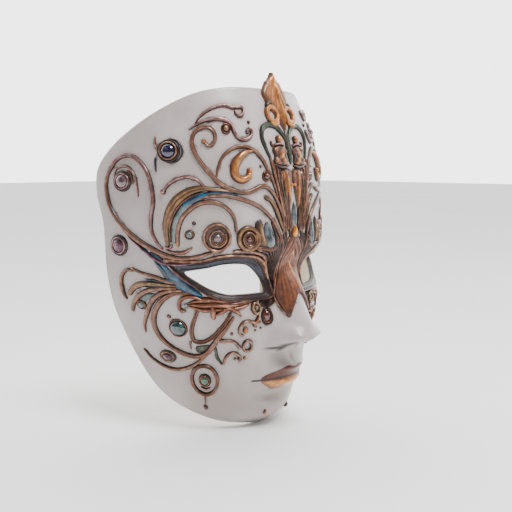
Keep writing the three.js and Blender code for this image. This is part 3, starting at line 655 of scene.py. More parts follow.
# Raised work takes (deep, body, crest, tint): deep is patina with painted shade at the foot, crest is rubbed
# wear with a painted highlight on top.
MATERIALS = {
    "copper": relief_paint("copper_relief", (28, 17, 15), (112, 74, 56), (212, 162, 132), (84, 70, 58)),
    "rose": relief_paint("rose_relief", (30, 17, 22), (112, 74, 72), (208, 164, 154), (90, 62, 50)),
    "gold": relief_paint("gold_relief", (48, 24, 12), (152, 92, 46), (236, 174, 98), (104, 58, 32),
                         metallic=0.45, roughness=0.34),
    "bright": relief_paint("bright_relief", (110, 56, 20), (214, 128, 44), (255, 198, 104), (184, 98, 36),
                           metallic=0.4, roughness=0.28),
    "crest": relief_paint("crest_relief", (80, 42, 18), (172, 104, 42), (255, 196, 98), (128, 74, 32),
                          metallic=0.35, roughness=0.42),
    "leaf": relief_paint("leaf_relief", (34, 22, 14), (108, 76, 48), (208, 160, 108), (82, 68, 46),
                         metallic=0.6, roughness=0.34),
    "amber": relief_paint("amber_relief", (34, 17, 12), (112, 64, 44), (196, 134, 98), (86, 48, 34),
                          metallic=0.55),
    "nose": relief_paint("nose_relief", (62, 34, 24), (138, 82, 54), (236, 180, 138), (100, 56, 42)),
    "green": relief_paint("patina_relief", (10, 15, 12), (46, 52, 40), (124, 120, 92), (66, 54, 38),
                          roughness=0.42),
    "bronze": relief_paint("bronze_relief", (20, 10, 9), (84, 48, 34), (168, 112, 80), (56, 40, 34),
                           metallic=0.6),
    "umber": relief_paint("umber_relief", (14, 9, 9), (50, 32, 28), (118, 82, 64), (42, 34, 36),
                          roughness=0.4),
    "dark": relief_paint("dark_relief", (10, 7, 10), (36, 26, 28), (84, 62, 56), (28, 28, 34), metallic=0.35,
                         roughness=0.42),
    "slate": relief_paint("slate_relief", (14, 14, 24), (44, 48, 64), (98, 102, 116), (46, 36, 54),
                          metallic=0.4, roughness=0.34),
    "plum": relief_paint("plum_relief", (26, 14, 26), (92, 56, 70), (176, 132, 142), (56, 44, 62)),
    "blue": glazed("blue_enamel", (4, 40, 62), (12, 86, 116), (6, 14, 26)),
    "haze": glazed("haze_enamel", (66, 82, 80), (112, 124, 120), (46, 48, 46)),
    "night_line": glazed("night_enamel", (6, 24, 40), (14, 62, 80), (8, 12, 20)),
    "petal": glazed("petal_enamel", (50, 60, 66), (96, 104, 106), (30, 27, 28)),
    "plum_pearl": stone("plum_pearl", (70, 48, 56), (112, 90, 92), (160, 136, 132)),
    "teal_pearl": stone("teal_pearl", (14, 38, 42), (48, 84, 82), (140, 140, 134)),
    "night": stone("night_stone", (8, 10, 34), (30, 26, 64), (84, 74, 110)),
    "green_stone": stone("green_stone", (16, 50, 42), (58, 94, 74), (118, 122, 82)),
    "garnet": stone("garnet", (70, 18, 18), (74, 60, 40), (128, 62, 44)),
    "ember": stone("ember_stone", (52, 12, 10), (92, 44, 30), (120, 70, 50)),
    "shell": porcelain(),
    "inside": primed_inside(),
    "leather": leather(),
    "thread": thread(),
    "brass": brass(),
}


# ---- Ornament: each function gives the skins of one CAD piece, drawn on the wearer's left side ----
def both(skins):
    """The skins and their mirror images on the other side of the centre line."""
    mirrored = [{**s, "points": s["points"] * (-1, 1, 1), "faces": [f[::-1] for f in s["faces"]]}
                for s in skins]
    return skins + mirrored


def crest_leaf():
    half = spline([(0, 137.6), (1.6, 135.6), (5, 132.6), (9.4, 130.4), (12.4, 126.6), (15, 122.6),
                   (14.6, 118), (10.6, 113), (6, 106.6), (3.2, 102), (0, 97)])
    lobes = np.abs(np.sin(np.arange(len(half)) / (len(half) - 1) * 4 * math.pi)) ** 0.6
    half[:, 0] = half[:, 0] * (0.9 + 0.1 * lobes)

    def veins(u, z, out):
        spine = bump(u, 1.2) * 1.7 * smoothstep((132 - z) / 8)
        folds = 0.28 * np.cos((np.abs(u) * 1.25 + (z - 118) * 0.5) * 0.9) * smoothstep(np.abs(u) / 3)
        lean = 2.8 * smoothstep((z - 116) / 24)
        return (spine + folds) * (1 - out ** 4) + lean

    leaf = boss(both_sides(half), [(0, 2.8), (0.5, 2.5), (0.9, 1.6), (1, 0.4)], middle=(0, 116), rings=30,
                look="crest", pattern=veins)
    volute = (hoop((10.2, 108.6), 5.2, 5, 2, 3, "crest", 0.12)
              + strand([(14.4, 103.4), (11, 101.6), (7, 102.4), (4.6, 105.6)], [0.8, 1.6, 1.5, 0.5], 2.8,
                       "crest")
              + strand([(15, 111.6), (13.6, 115), (10, 116.6), (6.6, 114)], [0.5, 1.4, 1.3, 0.5], 2.6,
                       "green"))
    return leaf + both(volute)


def crest_frame():
    arch = [(0, 88), (3.4, 94.6), (9, 100.4), (17, 101.8), (23, 98.6), (24.8, 92.6), (22.4, 85), (18.4, 76.4)]
    dart = strand([(0, 97.5), (0, 88), (0, 75)], [2, 3.2, 0.8], 2.2, "green", groove=0.3)
    return dart + both(strand(arch, [1.1, 1.8, 2, 1.9, 1.4, 0.8], 2.1, "green", groove=0.3))


def crest_capital():
    block = spline([(3.2, 85), (8, 87.4), (13, 87.6), (16.8, 85), (15.8, 80.6), (17.4, 76.4), (12, 74.4),
                    (6, 74.6), (3, 76.6), (4.2, 80.6)], 6, True)

    def mouldings(u, z, out):
        carving = 0.3 * np.sin(u * 0.9 + 1.4 * np.sin(z * 0.6)) + 0.16 * np.sin(z * 1.7 + u * 0.9)
        return carving * (1 - out ** 6)

    return (boss(block, [(0, 2.6), (0.7, 2.4), (0.92, 1.7), (1, 0.4)], look="gold", rings=24,
                 pattern=mouldings)
            + dome((9.6, 92), 2.8, 3.4, look="gold")
            + strand([(4.6, 87.8), (9.8, 89), (15.4, 88)], [0.8, 1.1, 0.7], 2.4, "rose")
            + strand([(2.6, 74.4), (9, 73.2), (17.8, 75)], [0.8, 1.3, 0.8], 2.6, "umber")
            + strand([(15.6, 87.4), (17.6, 89), (17, 91)], [0.8, 0.9, 0.5], 1.8, "bronze")
            + dome((14.4, 84.6), 1.3, 3.2, look="gold"))


def crest_blade():
    blade = spline([(0.5, 71.4), (6, 72.6), (11.4, 71.4), (11, 64), (8.2, 53), (5, 44), (2.4, 52),
                    (0.7, 61)], 6, True)

    def keel(u, z, out):
        middle = 3.9 + (z - 45) * 0.11
        return (1.2 * bump(u - middle, 1.1) + 0.5 * bump(u - middle - 3, 0.8)) * (1 - out ** 3)

    return (boss(blade, [(0, 1.5), (0.8, 1.2), (1, 0.3)], look="gold", rings=18, pattern=keel)
            + strand([(3.4, 69.6), (5.4, 68.6), (5.6, 66.6), (4, 66)], [0.6, 0.7, 0.4], 2.2, "umber")
            + dome((1.6, 61.4), 1.3, 2.2, look="bright"))


def centre_stem():
    """The sheaf that runs from the capitals down to the drop."""
    inner = [(2.6, 62), (4.6, 50), (4, 42), (3.2, 37), (3, 31)]
    outer = [(20.4, 80), (18.6, 70), (16.2, 60), (14.6, 50), (13, 40), (12, 29)]
    petal = spline([(0.1, 50), (2, 44), (2.8, 38), (2, 31), (0.1, 30), (0.1, 40)], 6, True)
    return (flow(inner, outer, 5, 1.7, "bronze")
            + strand([(20.6, 80), (18.8, 71), (16, 60), (13.6, 50), (10.6, 40)], [0.6, 0.9, 1, 0.8], 2.3,
                     "copper")
            + strand([(14.4, 70), (12.2, 60), (9.6, 50), (7.4, 40)], [0.5, 0.8, 0.8, 0.5], 2.3, "green")
            + boss(petal, [(0, 1.8), (0.7, 1.4), (1, 0.2)], look="petal", rings=8))


def brow_drop():
    drop = spline([(0, 35), (1.6, 32.4), (2.9, 28.8), (2, 26), (0, 25.2), (-2, 26), (-2.9, 28.8),
                   (-1.6, 32.4)], 5, True)
    return (boss(drop, [(0, 3.6), (0.5, 3.2), (0.85, 2.2), (1, 0.6)], look="bright")
            + dome((0, 23.8), 3.6, 2.6, 2, "bronze")
            + both(strand([(4.8, 38), (5.4, 32), (4, 26)], [0.4, 0.9, 0.5], 1.8, "umber")))


def nose_plate():
    half = [(0, 27.6), (4.6, 26.6), (8.4, 22), (10.6, 15), (10.8, 6), (11.4, 0), (13.8, -8), (16, -14.5),
            (14, -21), (11.4, -28.6), (5.8, -20), (0, -13)]

    def flutes(u, z, out):
        width = np.interp(z, (-20, -8, 4, 16, 26), (15, 13.8, 11, 10.6, 5.2))
        curls = 0.6 * np.cos((z + np.abs(u) * 1.4) * 1.1) * smoothstep((z - 10) / 6)
        strands = 0.14 * np.cos(u / width * 12 * math.pi + 1.2 * np.sin(z / 5)) * smoothstep((16 - z) / 8)
        return (curls + strands + 0.5 * bump(u, 1.2)) * (1 - out ** 5)

    plate = boss(spline(both_sides(half), 7, True), [(0, 2.5), (0.6, 2.4), (0.93, 1.9), (1, 0.3)],
                 middle=(0, -4), look="nose", rings=56, pattern=flutes)
    edge = [(5, 26), (8.8, 21.6), (11, 15), (11.2, 6), (11.8, 0), (14.2, -8), (16.4, -14.6), (14.4, -21),
            (12, -27.2)]
    return plate + both(strand(edge, [0.4, 0.6, 0.6, 0.6, 0.8, 0.7, 0.5], 1.9, "copper"))


def brow_petal():
    petal = [(26, 37.4), (28.6, 34), (28.8, 27), (26.6, 20), (20, 19.6), (20.6, 28)]
    wing = [(32, 39), (35.6, 36.4), (35.4, 29), (33.6, 20.6), (27.4, 20.6), (28.8, 28), (29, 34)]

    def fold(u, z, out):
        return 0.7 * bump(u - 24, 1.3) * (1 - out ** 3)

    def rib(u, z, out):
        return 0.7 * bump(u - 29.6 - (z - 20) * 0.16, 1.1) * (1 - out ** 3)

    return (boss(spline(petal, 6, True), [(0, 1.3), (0.7, 1), (1, 0.2)], look="petal", rings=16, pattern=fold)
            + boss(spline(wing, 6, True), [(0, 1.7), (0.7, 1.4), (1, 0.3)], look="leaf", rings=16,
                   pattern=rib)
            + strand([(37, 19.8), (30, 19.6), (23, 18.6), (18, 20.6)], [0.8, 1.5, 1.5, 0.8], 1.9, "bronze")
            + dome((18.4, 24), 1.8, 1.8, 2.6, "bronze")
            + strand([(22.4, 37), (19.6, 30), (17.6, 22)], [0.5, 1.1, 0.8], 1.8, "umber"))


def eye_trim():
    """A moulded band of fine lines between the hole and the trim's outer line, and the inner corner."""
    inner = spline(EYE_HOLE, 14, True)
    outer = spline(EYE_TRIM, 14, True)
    crown = [(0, 0.2), (0.06, 1), (0.14, 1.1), (0.2, 0.6), (0.5, 0.9), (0.56, 0.5), (0.66, 1.1), (0.72, 0.9),
             (0.88, 2.3), (0.96, 1.6), (1, 0)]
    at, value = np.array(crown).T
    corner = 14 * EYE_HOLE.index((24, -3))
    bands = [(0, 0.17, "dark", 0.1), (0.17, 0.53, "slate", 0.12), (0.53, 0.74, "umber", 0.25),
             (0.74, 1, "copper", 0.12)]
    skins = []
    for low, high, upper, fine in bands:
        f = np.linspace(low, high, 5 + int(60 * (high - low)))
        lines = np.abs(np.sin(8 * math.pi * f)) ** 0.7
        height = np.interp(f, at, value) + fine * lines
        raised = np.clip(np.interp(f, at, value) / 2 + 0.45 * lines, 0, 1)
        f = np.concatenate([f[:1], f, f[-1:]])[::-1]
        height = np.concatenate([[FOOT], height, [FOOT]])[::-1]
        raised = np.concatenate([[0], raised, [0]])[::-1]
        grid = inner[:, None] + (outer - inner)[:, None] * f[None, :, None]
        points = on_face(grid[..., 0], grid[..., 1], np.broadcast_to(height, grid.shape[:2]))
        points = np.concatenate([points, points[:1]])
        run = np.arange(len(points)) * STEP
        skins.append(skin(points[:corner], upper, high=raised[None], run=run[:corner, None]))
        skins.append(skin(points[corner - 1:], "umber", high=raised[None], run=run[corner - 1:, None]))
    return skins + inner_corner()


def inner_corner():
    near_nose = [(7, 31), (8, 24), (10, 15), (10.4, 6), (12, -4), (15, -13), (17, -19), (22, -21.6),
                 (30, -21)]
    near_eye = [(33, 16), (25.6, 13.4), (20.8, 7.6), (18.4, 0), (17.8, -8), (18.6, -14.6), (23, -16.6),
                (30, -16.4)]
    root = [(20.6, 40), (17.4, 34), (14.6, 27), (13.4, 20), (12.6, 12), (13, 4), (14.4, -6), (16, -14)]
    lid = [(52, 18.6), (42, 18.8), (34, 17.2), (27, 14), (21.6, 8), (18.2, -1), (17.6, -10)]
    return (flow(near_nose, near_eye, 10, 1.3, "umber")
            + strand(root, [0.5, 0.9, 1, 0.8, 0.4], 2.2, "bronze")
            + strand(lid, [0.8, 1.1, 1.1, 0.8, 0.3], 2.4, "copper"))


def enamel_brow():
    lower = [(91.2, 23), (91, 32), (87.6, 41), (82, 48), (77.6, 51.4)]
    middle = [(85, 47.4), (80, 51.6), (74, 54.4), (67, 56)]
    upper = [(72, 56), (64, 57), (56, 56.8), (47, 55.6)]
    return (strand(lower, [1.1, 1.8, 2.4, 2.6, 1.4], 1.2, "haze")
            + strand(middle, [1.4, 3, 2.9, 1], 1.4, "blue")
            + strand(upper, [0.9, 1.5, 1.2, 0.5], 1.2, "night_line"))


def enamel_wing():
    wing = [(107, 17), (101, 11), (95.6, 5.4), (91, 0.6), (86.4, -3.6), (80, -8.4), (73, -12)]
    spur = [(98, -1), (92, -1.8), (86.6, -5)]
    outer = [(112, 21), (106.4, 14.4), (100, 7.4), (94.6, 1.8)]
    inner = [(100, 13.4), (95.6, 9.4), (91.4, 4.8), (86.6, 0.6), (80, -4), (74, -7.6)]
    return (strand(wing, [1, 3, 4.8, 5.6, 5.2, 3.6, 0.8], 0.8, "night_line")
            + strand(wing, [0.5, 1.4, 2.6, 3.9, 4, 2.8, 0.4], 1.5, "blue")
            + strand(spur, [0.3, 1.5, 1.2], 1.5, "blue")
            + strand(outer, [0.3, 0.7, 0.8, 0.3], 1.7, "night_line")
            + strand(inner, [0.5, 1, 1.1, 0.8, 0.4], 1.9, "plum"))


def brow_scroll():
    arch = [(88.6, 21), (88.4, 31), (86, 39.4), (81, 45.6), (74.4, 49.8), (67, 51), (60, 49.4), (54, 45),
            (50.6, 39), (49.8, 31)]
    line = [(74, 53.2), (66, 54.8), (56, 54.8), (46, 52.8), (37, 49.8), (29, 45.4), (22, 39), (17.4, 31.6),
            (14.4, 24), (12.6, 16)]
    stem = [(27.6, 54.2), (22.6, 51.4), (18.4, 45.6), (14.8, 38), (11.4, 30)]
    return (strand(arch, [1.2, 1.6, 1.7, 1.5, 1], 2.1, "copper", groove=0.16)
            + strand(line, [0.7, 1.4, 1.6, 1.6, 1.2, 0.7], 2.1, "copper", groove=0.12)
            + strand(stem, [1.9, 1.6, 1.8, 1.5, 0.8], 2.3, "leaf", groove=0.2)
            + strand([(96.6, 19), (90, 17.2), (84, 17.8), (79, 21)], [0.6, 1.2, 1.5, 0.5], 1.7, "copper")
            + strand([(92, 23), (93.4, 20.4), (97, 21.4)], [0.7, 1, 0.6], 2, "rose"))


def brow_leaf():
    band = [(95, 21), (95.8, 34), (93, 44.6), (88, 52), (81, 57.2), (73, 59.6), (64, 59.2), (55, 58.2),
            (47, 57)]
    inner = [(93, 24), (93.4, 34), (90.4, 43), (85.6, 49.8), (79, 54.6), (72, 57)]
    hook = [(69, 59), (71.4, 62), (75.6, 65.6), (81, 67.2), (88, 65.6), (94, 61.6), (97, 57.4)]
    return (strand(band, [1.3, 2, 3.1, 3.5, 2.8, 1.6, 1.2, 0.8], 2.5, "leaf", groove=0.25)
            + strand(inner, [0.5, 0.9, 1, 0.9, 0.5], 2, "bronze")
            + strand(hook, [0.8, 1.2, 1.2, 1.2, 1], 1.9, "rose", ball=1.9))


def temple_scroll():
    top = [(98, 19), (102.4, 24), (105.4, 31), (105.6, 40), (103.8, 50), (104.6, 61), (107.4, 70),
           (112.4, 77), (119, 80.8), (126, 80.4), (132, 76), (136.4, 69)]
    low = [(131.6, 76), (136.6, 68), (137.8, 58), (135, 47), (129.6, 38), (122, 30), (114, 24), (106, 19.4),
           (98, 15.8), (90, 13.6), (82, 13.6), (74, 15.2), (66, 17.8), (58, 19)]
    under = [(127, 33), (119.4, 25), (112, 18.8), (105, 13.4), (98, 10), (90, 9.2), (82, 9.8), (75, 11.4)]
    return (strand(top, [0.9, 1.4, 1.5, 1.5, 1.4], 2.1, "rose", groove=0.14)
            + strand(low, [1.2, 1.4, 1.6, 1.8, 1.8, 1.5, 1], 2.3, "copper", groove=0.14)
            + strand(under, [0.4, 1, 1.3, 1.2, 0.5], 2, "plum"))


def forehead_scroll():
    s_curve = [(69, 90), (66, 87.4), (62.4, 89.6), (61.2, 94.4), (64, 98.6), (70, 99.2), (75.6, 96),
               (77.6, 90.6), (76, 83.4), (71.4, 75.6), (65.4, 68.4), (58.6, 62), (51, 58.6), (43, 57),
               (36.6, 58.2), (30.6, 60.6), (25.4, 60.4), (20.4, 56.4), (16.4, 50), (12.8, 42), (9.6, 33)]
    loop = [(62, 66.6), (61, 72), (58, 79), (52.6, 84), (46, 86.6), (39, 86.8), (32.4, 84), (27, 78.6),
            (22.6, 71), (18.8, 62), (16, 53)]
    crook = [(75, 101.4), (71.6, 106), (66, 110), (58, 113.2), (51, 113.8), (46.4, 112.6)]
    hook = [(79.6, 97.6), (74.6, 100.6), (68, 103.6), (60, 104.8), (53, 104), (48.4, 100.8), (46.8, 96),
            (44, 92.4), (38.6, 91.6), (34, 94), (33, 97.6), (36, 99.2)]
    return (strand(s_curve, [1.2, 1.5, 1.5, 1.6, 1.6, 1.7, 1.7, 1.4, 0.8], 2.1, "copper", groove=0.2)
            + dome((69.4, 90.2), 1.7, 2.5, look="gold")
            + strand(loop, [0.7, 1.1, 1.3, 1.5, 1.5, 1.2, 0.7], 2.1, "copper", groove=0.12)
            + strand(crook + list(spiral((40.6, 110.6), 3.6, 3.4, 0.42, 0.6, 5)), [0.6, 1.2, 1.3, 1.2, 1.4],
                     2, "rose")
            + strand(hook, [0.4, 1.2, 1.5, 1.6, 1.5, 1.4], 2.1, "rose")
            + dome((36.6, 96.8), 1.8, 2.2, look="garnet"))


def forehead_horn():
    horn = [(34, 84), (40, 83), (45.6, 79), (49.2, 73), (48.4, 67.4), (44, 65.4), (39.6, 67.2), (38.2, 71)]
    return (strand(horn, [0.5, 2, 3.1, 3.4, 3.1, 2.5, 2.1], 3.8, "gold")
            + dome((38.4, 71), 2.1, 3.6, look="gold"))


def rosette_outer():
    return rolled((63, 27.8), 9.8, 2.8, 0.13, "copper", "plum_pearl", 0.3)


def rosette_inner():
    return rolled((41.2, 26.6), 8.8, 2.9, 0.2, "leaf", "ember", 0.24)


def temple_gem():
    arc = [(131.4, 66), (130.4, 71), (126, 74), (120.6, 73.4), (116.4, 68.6), (114.2, 61), (113.6, 53.6)]
    small = [(122, 71.6), (118.6, 68.4), (117.2, 62)]
    return (gem((125, 64), 6.4, 6.8, 2.8, "plum_pearl", "rose") + strand(arc, [0.7, 1, 0.8, 0.4], 1.5, "rose")
            + strand(small, [0.4, 0.7, 0.3], 1.2, "copper"))


def temple_cabochon():
    return (gem((93, 84), 7.2, height=3.8, stone="night")
            + hoop((91.6, 84), 7.6, 7.6, 0.6, 1, "dark")
            + strand([(102.8, 94), (102.4, 89), (100.6, 85)], [0.4, 0.8, 0.5], 1.4, "copper")
            + strand([(101.8, 80), (101.8, 75), (101.4, 70)], [0.7, 0.7, 0.4], 1.3, "slate"))


def temple_boss():
    return gem((129.4, 20), 6.4, 7.2, 2.6, "plum", "rose") + dome((129.4, 20), 1.9, 3.6, look="plum_pearl")


def cheek_fan():
    fronds = [
        ([(88, -3), (95, -2.6), (105, 0.2), (113, 2), (120, 4.4)], [1, 1.4, 1.5, 1.2, 0.9], "copper"),
        ([(119, 3), (124.6, 3.2), (128.6, -0.6), (129.8, -7), (129, -13.4), (126.8, -18)],
         [0.8, 1.4, 1.4, 1.4, 0.9], "copper"),
        ([(90, -5.4), (102, -4.8), (112, -5.2), (120, -8.4), (125.2, -14.6)], [0.8, 1.6, 2, 2.2, 1.6],
         "leaf"),
        ([(90, -7), (100, -7.6), (110, -9.8), (117.6, -14.6), (122.2, -20.6), (124, -26)],
         [0.8, 1.6, 1.8, 1.9, 1.2], "copper"),
        ([(86, -8.4), (96, -9.2), (103.8, -12.8), (109.4, -19), (113.4, -27), (116.4, -34), (117.2, -41)],
         [0.8, 1.6, 1.9, 1.8, 1.3, 0.5], "copper"),
    ]
    skins = []
    for order, (route, halves, look) in enumerate(fronds):
        skins += strand(route, halves, 2 + 0.08 * order, look, groove=0.14)
    gap = spline([(105, -11.4), (111, -12), (116, -15.6), (115, -18.6), (110.6, -16)], 6, True)
    skins += boss(gap, [(0, 0.8), (0.8, 0.6), (1, 0.1)], look="haze", rings=8)
    for route in ([(92, -4.2), (103, -2.4), (112, -1.8)], [(92, -6), (103, -6.4), (112, -7.6)]):
        skins += strand(route, [0.5, 1, 0.3], 1.4, "night_line")
    return skins


def cheek_acanthus():
    above = [(85, -17), (80, -14.6), (74, -12.6), (67, -12.6), (58, -14.4), (48, -15.2), (38, -15.4)]
    below = [(85, -18.6), (80, -20.8), (74, -23), (67, -22.4), (58, -21.8), (50, -21.8), (40, -19)]
    curl = [(73, -14.6), (78, -12.8), (84, -12.6), (88.4, -15), (89.8, -18.6), (88.8, -22), (85.8, -22.6)]
    lobes = [
        ([(68, -18.6), (67.4, -22), (68, -25), (67.8, -28)], [2, 2.5, 1.9, 1], "amber"),
        ([(67, -25.4), (63, -23), (58, -20.6)], [0.6, 1.5, 1.6], "amber"),
        ([(81, -17.4), (74, -18.2), (66, -18.2), (56, -18.8), (44, -18)], [0.3, 1.1, 1.5, 1.2, 0.4], "amber"),
        ([(60, -18), (54, -20.6), (50, -23.4), (47.6, -26.4)], [1.4, 2.2, 1.8, 0.5], "amber"),
        ([(62, -17), (52, -17.4), (42, -16.6), (36, -17)], [0.5, 1, 1.1, 0.6], "bronze"),
    ]
    loop = [(77, -20), (80, -26), (83, -33), (84, -39), (82.4, -43.4), (77, -44.2), (70.4, -41), (65, -35.6),
            (60, -29.6), (55, -22.6)]
    skins = (flow(above, below, 3, 1.5, "amber")
             + strand(curl, [0.9, 1.3, 1.4, 1.4, 0.9], 2.3, "amber", groove=0.15)
             + dome((85.2, -18.4), 1.5, 1.4, look="haze"))
    for route, halves, look in lobes:
        skins += strand(route, halves, 2.6, look)
    return (skins + strand(loop, [0.9, 1.4, 1.6, 1.6, 1.6, 1.5, 1], 2.1, "copper", groove=0.4)
            + strand([(85, -43.6), (86, -46.6), (85.4, -50.4)], [0.9, 1, 0.4], 1.5, "rose"))


def cheek_scroll():
    scroll = [(78, -10.4), (85, -10), (92, -10.6), (99.4, -14.4), (105, -20.6), (108.8, -28.6), (109, -37),
              (105.2, -44.6), (97.6, -50.6), (88.6, -54.4), (80.6, -55), (74.6, -52.6), (69.6, -47),
              (65.4, -40.6), (59.6, -33.4), (53.4, -25.6)]
    sweep = [(121.8, -53.6), (116.4, -60), (108.4, -64.6), (99, -66.4), (90.4, -64.6), (82.6, -60.6),
             (76, -55)]
    hook = [(69, -42.6), (62, -43), (54.6, -43.6), (50.4, -46.4), (47.6, -49.6)]
    drop = [(69, -44), (67.4, -50), (66.4, -55.4), (62.6, -61)]
    fork = [(61.8, -61), (59.8, -55.6), (55.4, -52.4), (50.6, -53), (46.6, -56.4)]
    shade = spline([(82, -48), (77, -46.6), (72, -46), (72.6, -49.6), (77, -52), (81.4, -52)], 6, True)
    return (strand(scroll, [0.5, 1.5, 2, 2, 1.9, 1.7, 1.9, 2.1, 2, 1], 2.2, "copper", groove=0.26)
            + strand(sweep, [0.7, 1.2, 1.4, 1.5, 1], 1.9, "copper", groove=0.12)
            + strand(hook, [1.3, 1.5, 1.3, 1.1], 2, "copper")
            + hoop((42, -47.6), 3.6, 3.8, 1.3, 2.1, "copper")
            + strand(drop, [0.9, 1.2, 1.2, 0.7], 1.8, "green", groove=0.2)
            + strand(fork, [0.8, 1.3, 1.2, 0.8], 1.8, "copper")
            + dome((48.4, -57), 2, 2.3, look="rose") + dome((44.2, -56.4), 1.3, 1.9, look="gold")
            + dome((52.4, -56.8), 1.1, 1.5, look="gold")
            + boss(shade, [(0, 0.5), (0.7, 0.4), (1, 0)], look="green", rings=8))


def cheek_pendant():
    return (hoop((77, -73), 10.2, 11, 1.5, 2.1, "copper", 0.26)
            + strand([(78, -84.6), (79, -89), (80, -93)], [0.9, 0.9, 0.5], 1.5, "rose")
            + dome((80.4, -95), 2, 2.2, look="rose"))


def pendant_gem():
    return (gem((77, -73), 4.8, 4.8, 2.6, "green_stone")
            + strand([(72.4, -78), (76.6, -79.8), (81, -78)], [0.5, 1, 0.5], 1.5, "copper"))


def cheek_cabochon():
    return (dome((92.8, -34.8), 5.4, 4, look="teal_pearl")
            + hoop((92.8, -34.8), 5.8, 6, 0.6, 1.2, "bronze"))


def cheek_garnet():
    return (gem((103.6, -57), 6, 4.4, 2.2, "plum", "copper")
            + dome((103.6, -57), 2.4, 3, 1.8, look="garnet"))


def nose_side_scroll():
    arm = [(30, -30.6), (35, -31.4), (41, -29.8), (47, -30.6), (50, -34.6), (49, -38.4), (45.6, -39.8)]
    return (gem((24.6, -27.4), 5, 6, height=2.8, stone="ember", ring="bronze")
            + hoop((34.2, -21.4), 3.3, 3.6, 1.2, 2.2, "leaf")
            + dome((33.6, -21.2), 1.9, 2, look="plum_pearl")
            + strand([(32, -25.6), (33.6, -29), (37, -32.6), (34, -34.6)], [1, 1.5, 1.5, 0.8], 2, "amber")
            + strand(arm, [0.8, 1.3, 1.3, 1.2, 0.9], 2, "copper")
            + dome((44.6, -35.8), 2.5, 2.6, look="gold"))


def loose_beads():
    """Small bosses that stand alone between the scrolls, as (u, z, radius, look)."""
    beads = [(78, 37, 1.4, "dark"), (81, 29.4, 2.3, "haze"), (25, 67.4, 2.5, "ember"),
             (29, 74, 1.1, "bronze"), (53, 98.4, 2.6, "copper"), (34, 103, 1.3, "bronze"),
             (116, -20.4, 2.4, "haze"), (98, -27, 1.5, "rose"), (55.6, -38, 1.3, "amber"),
             (35.6, -36.6, 0.9, "bronze"), (30.6, -35.4, 0.9, "bronze"), (20, -100, 1.9, "gold"),
             (120, 4.8, 1.2, "gold")]
    skins = []
    for u, z, radius, look in beads:
        skins += dome((u, z), radius, radius * 1.1, look=look)
        if radius > 2:
            skins += strand(ellipse((u, z), radius * 1.2, count=20), [0.6], 1.3, "bronze", closed=True)
    return skins


# ---- Shell ----
def vectors(items, name):
    """One vector of each item of a mesh, as rows."""
    flat = np.empty(len(items) * 3)
    items.foreach_get(name, flat)
    return flat.reshape(-1, 3)


def nearest(points, samples):
    """Distance in millimetres from each point to the nearest sample, or PAINT_REACH if that is less."""
    tree = KDTree(len(samples))
    for i, sample in enumerate(samples):
        tree.insert(sample, i)
    tree.balance()
    return np.clip([tree.find(point)[2] for point in points], 0, PAINT_REACH)


def ring_places(count):
    """How far out each ring of the shell's mesh lies, as a share of the way from the pole to the rim."""
    return (np.linspace(0, 1, count) ** 1.2).clip(0.002)


def ring_at(outline, out):
    return (POLE + (outline - POLE) * out).T


def shell_object(ornament):
    outline = spline(both_sides(RIM), closed=True)
    outline = outline[np.linspace(0, len(outline), AROUND, endpoint=False).astype(int)][::-1]
    outer = [surface(*ring_at(outline, out)) for out in ring_places(OUTER_RINGS)[::-1]]
    inner = [surface(*ring_at(outline, out), SHELL, 1.0) for out in ring_places(INNER_RINGS)]
    away = on_face(*ring_at(outline, 1.004)) - on_face(*outline.T)
    away /= np.linalg.norm(away, axis=1, keepdims=True)
    edge = []
    for t in np.linspace(math.pi, 0, 7)[1:-1]:
        across = (1 - math.cos(t)) / 2
        edge.append(outer[0] * (1 - across) + inner[-1] * across + away * RIM_ROUND * math.sin(t))
    points = np.array(inner + edge + outer)
    made = mesh_object("mask_shell_look", [skin(points, "shell")], sharp=40)
    for mirror in (False, True):
        cut_eye(made, mirror)
    paint_shell(made, ornament, outline)
    return made


def cut_eye(shell, mirror):
    cosine, sine = math.cos(EYE_AXIS), math.sin(EYE_AXIS)
    x, y, z = surface(*spline(EYE_HOLE, 14, True).T).T
    across = x * cosine + y * sine
    points = np.array([np.stack([across * cosine + way * sine, across * sine - way * cosine, z], -1)
                       for way in (0.0, CUTTER_REACH)])
    cutter = mesh_object("eye_cutter", [skin(points, "dark")], mirror=mirror)
    cutter.data.materials.clear()
    modifier = shell.modifiers.new("eye", "BOOLEAN")
    modifier.object = cutter
    modifier.solver = "EXACT"
    bpy.context.view_layer.objects.active = shell
    bpy.ops.object.modifier_apply(modifier="eye")
    bpy.data.objects.remove(cutter)


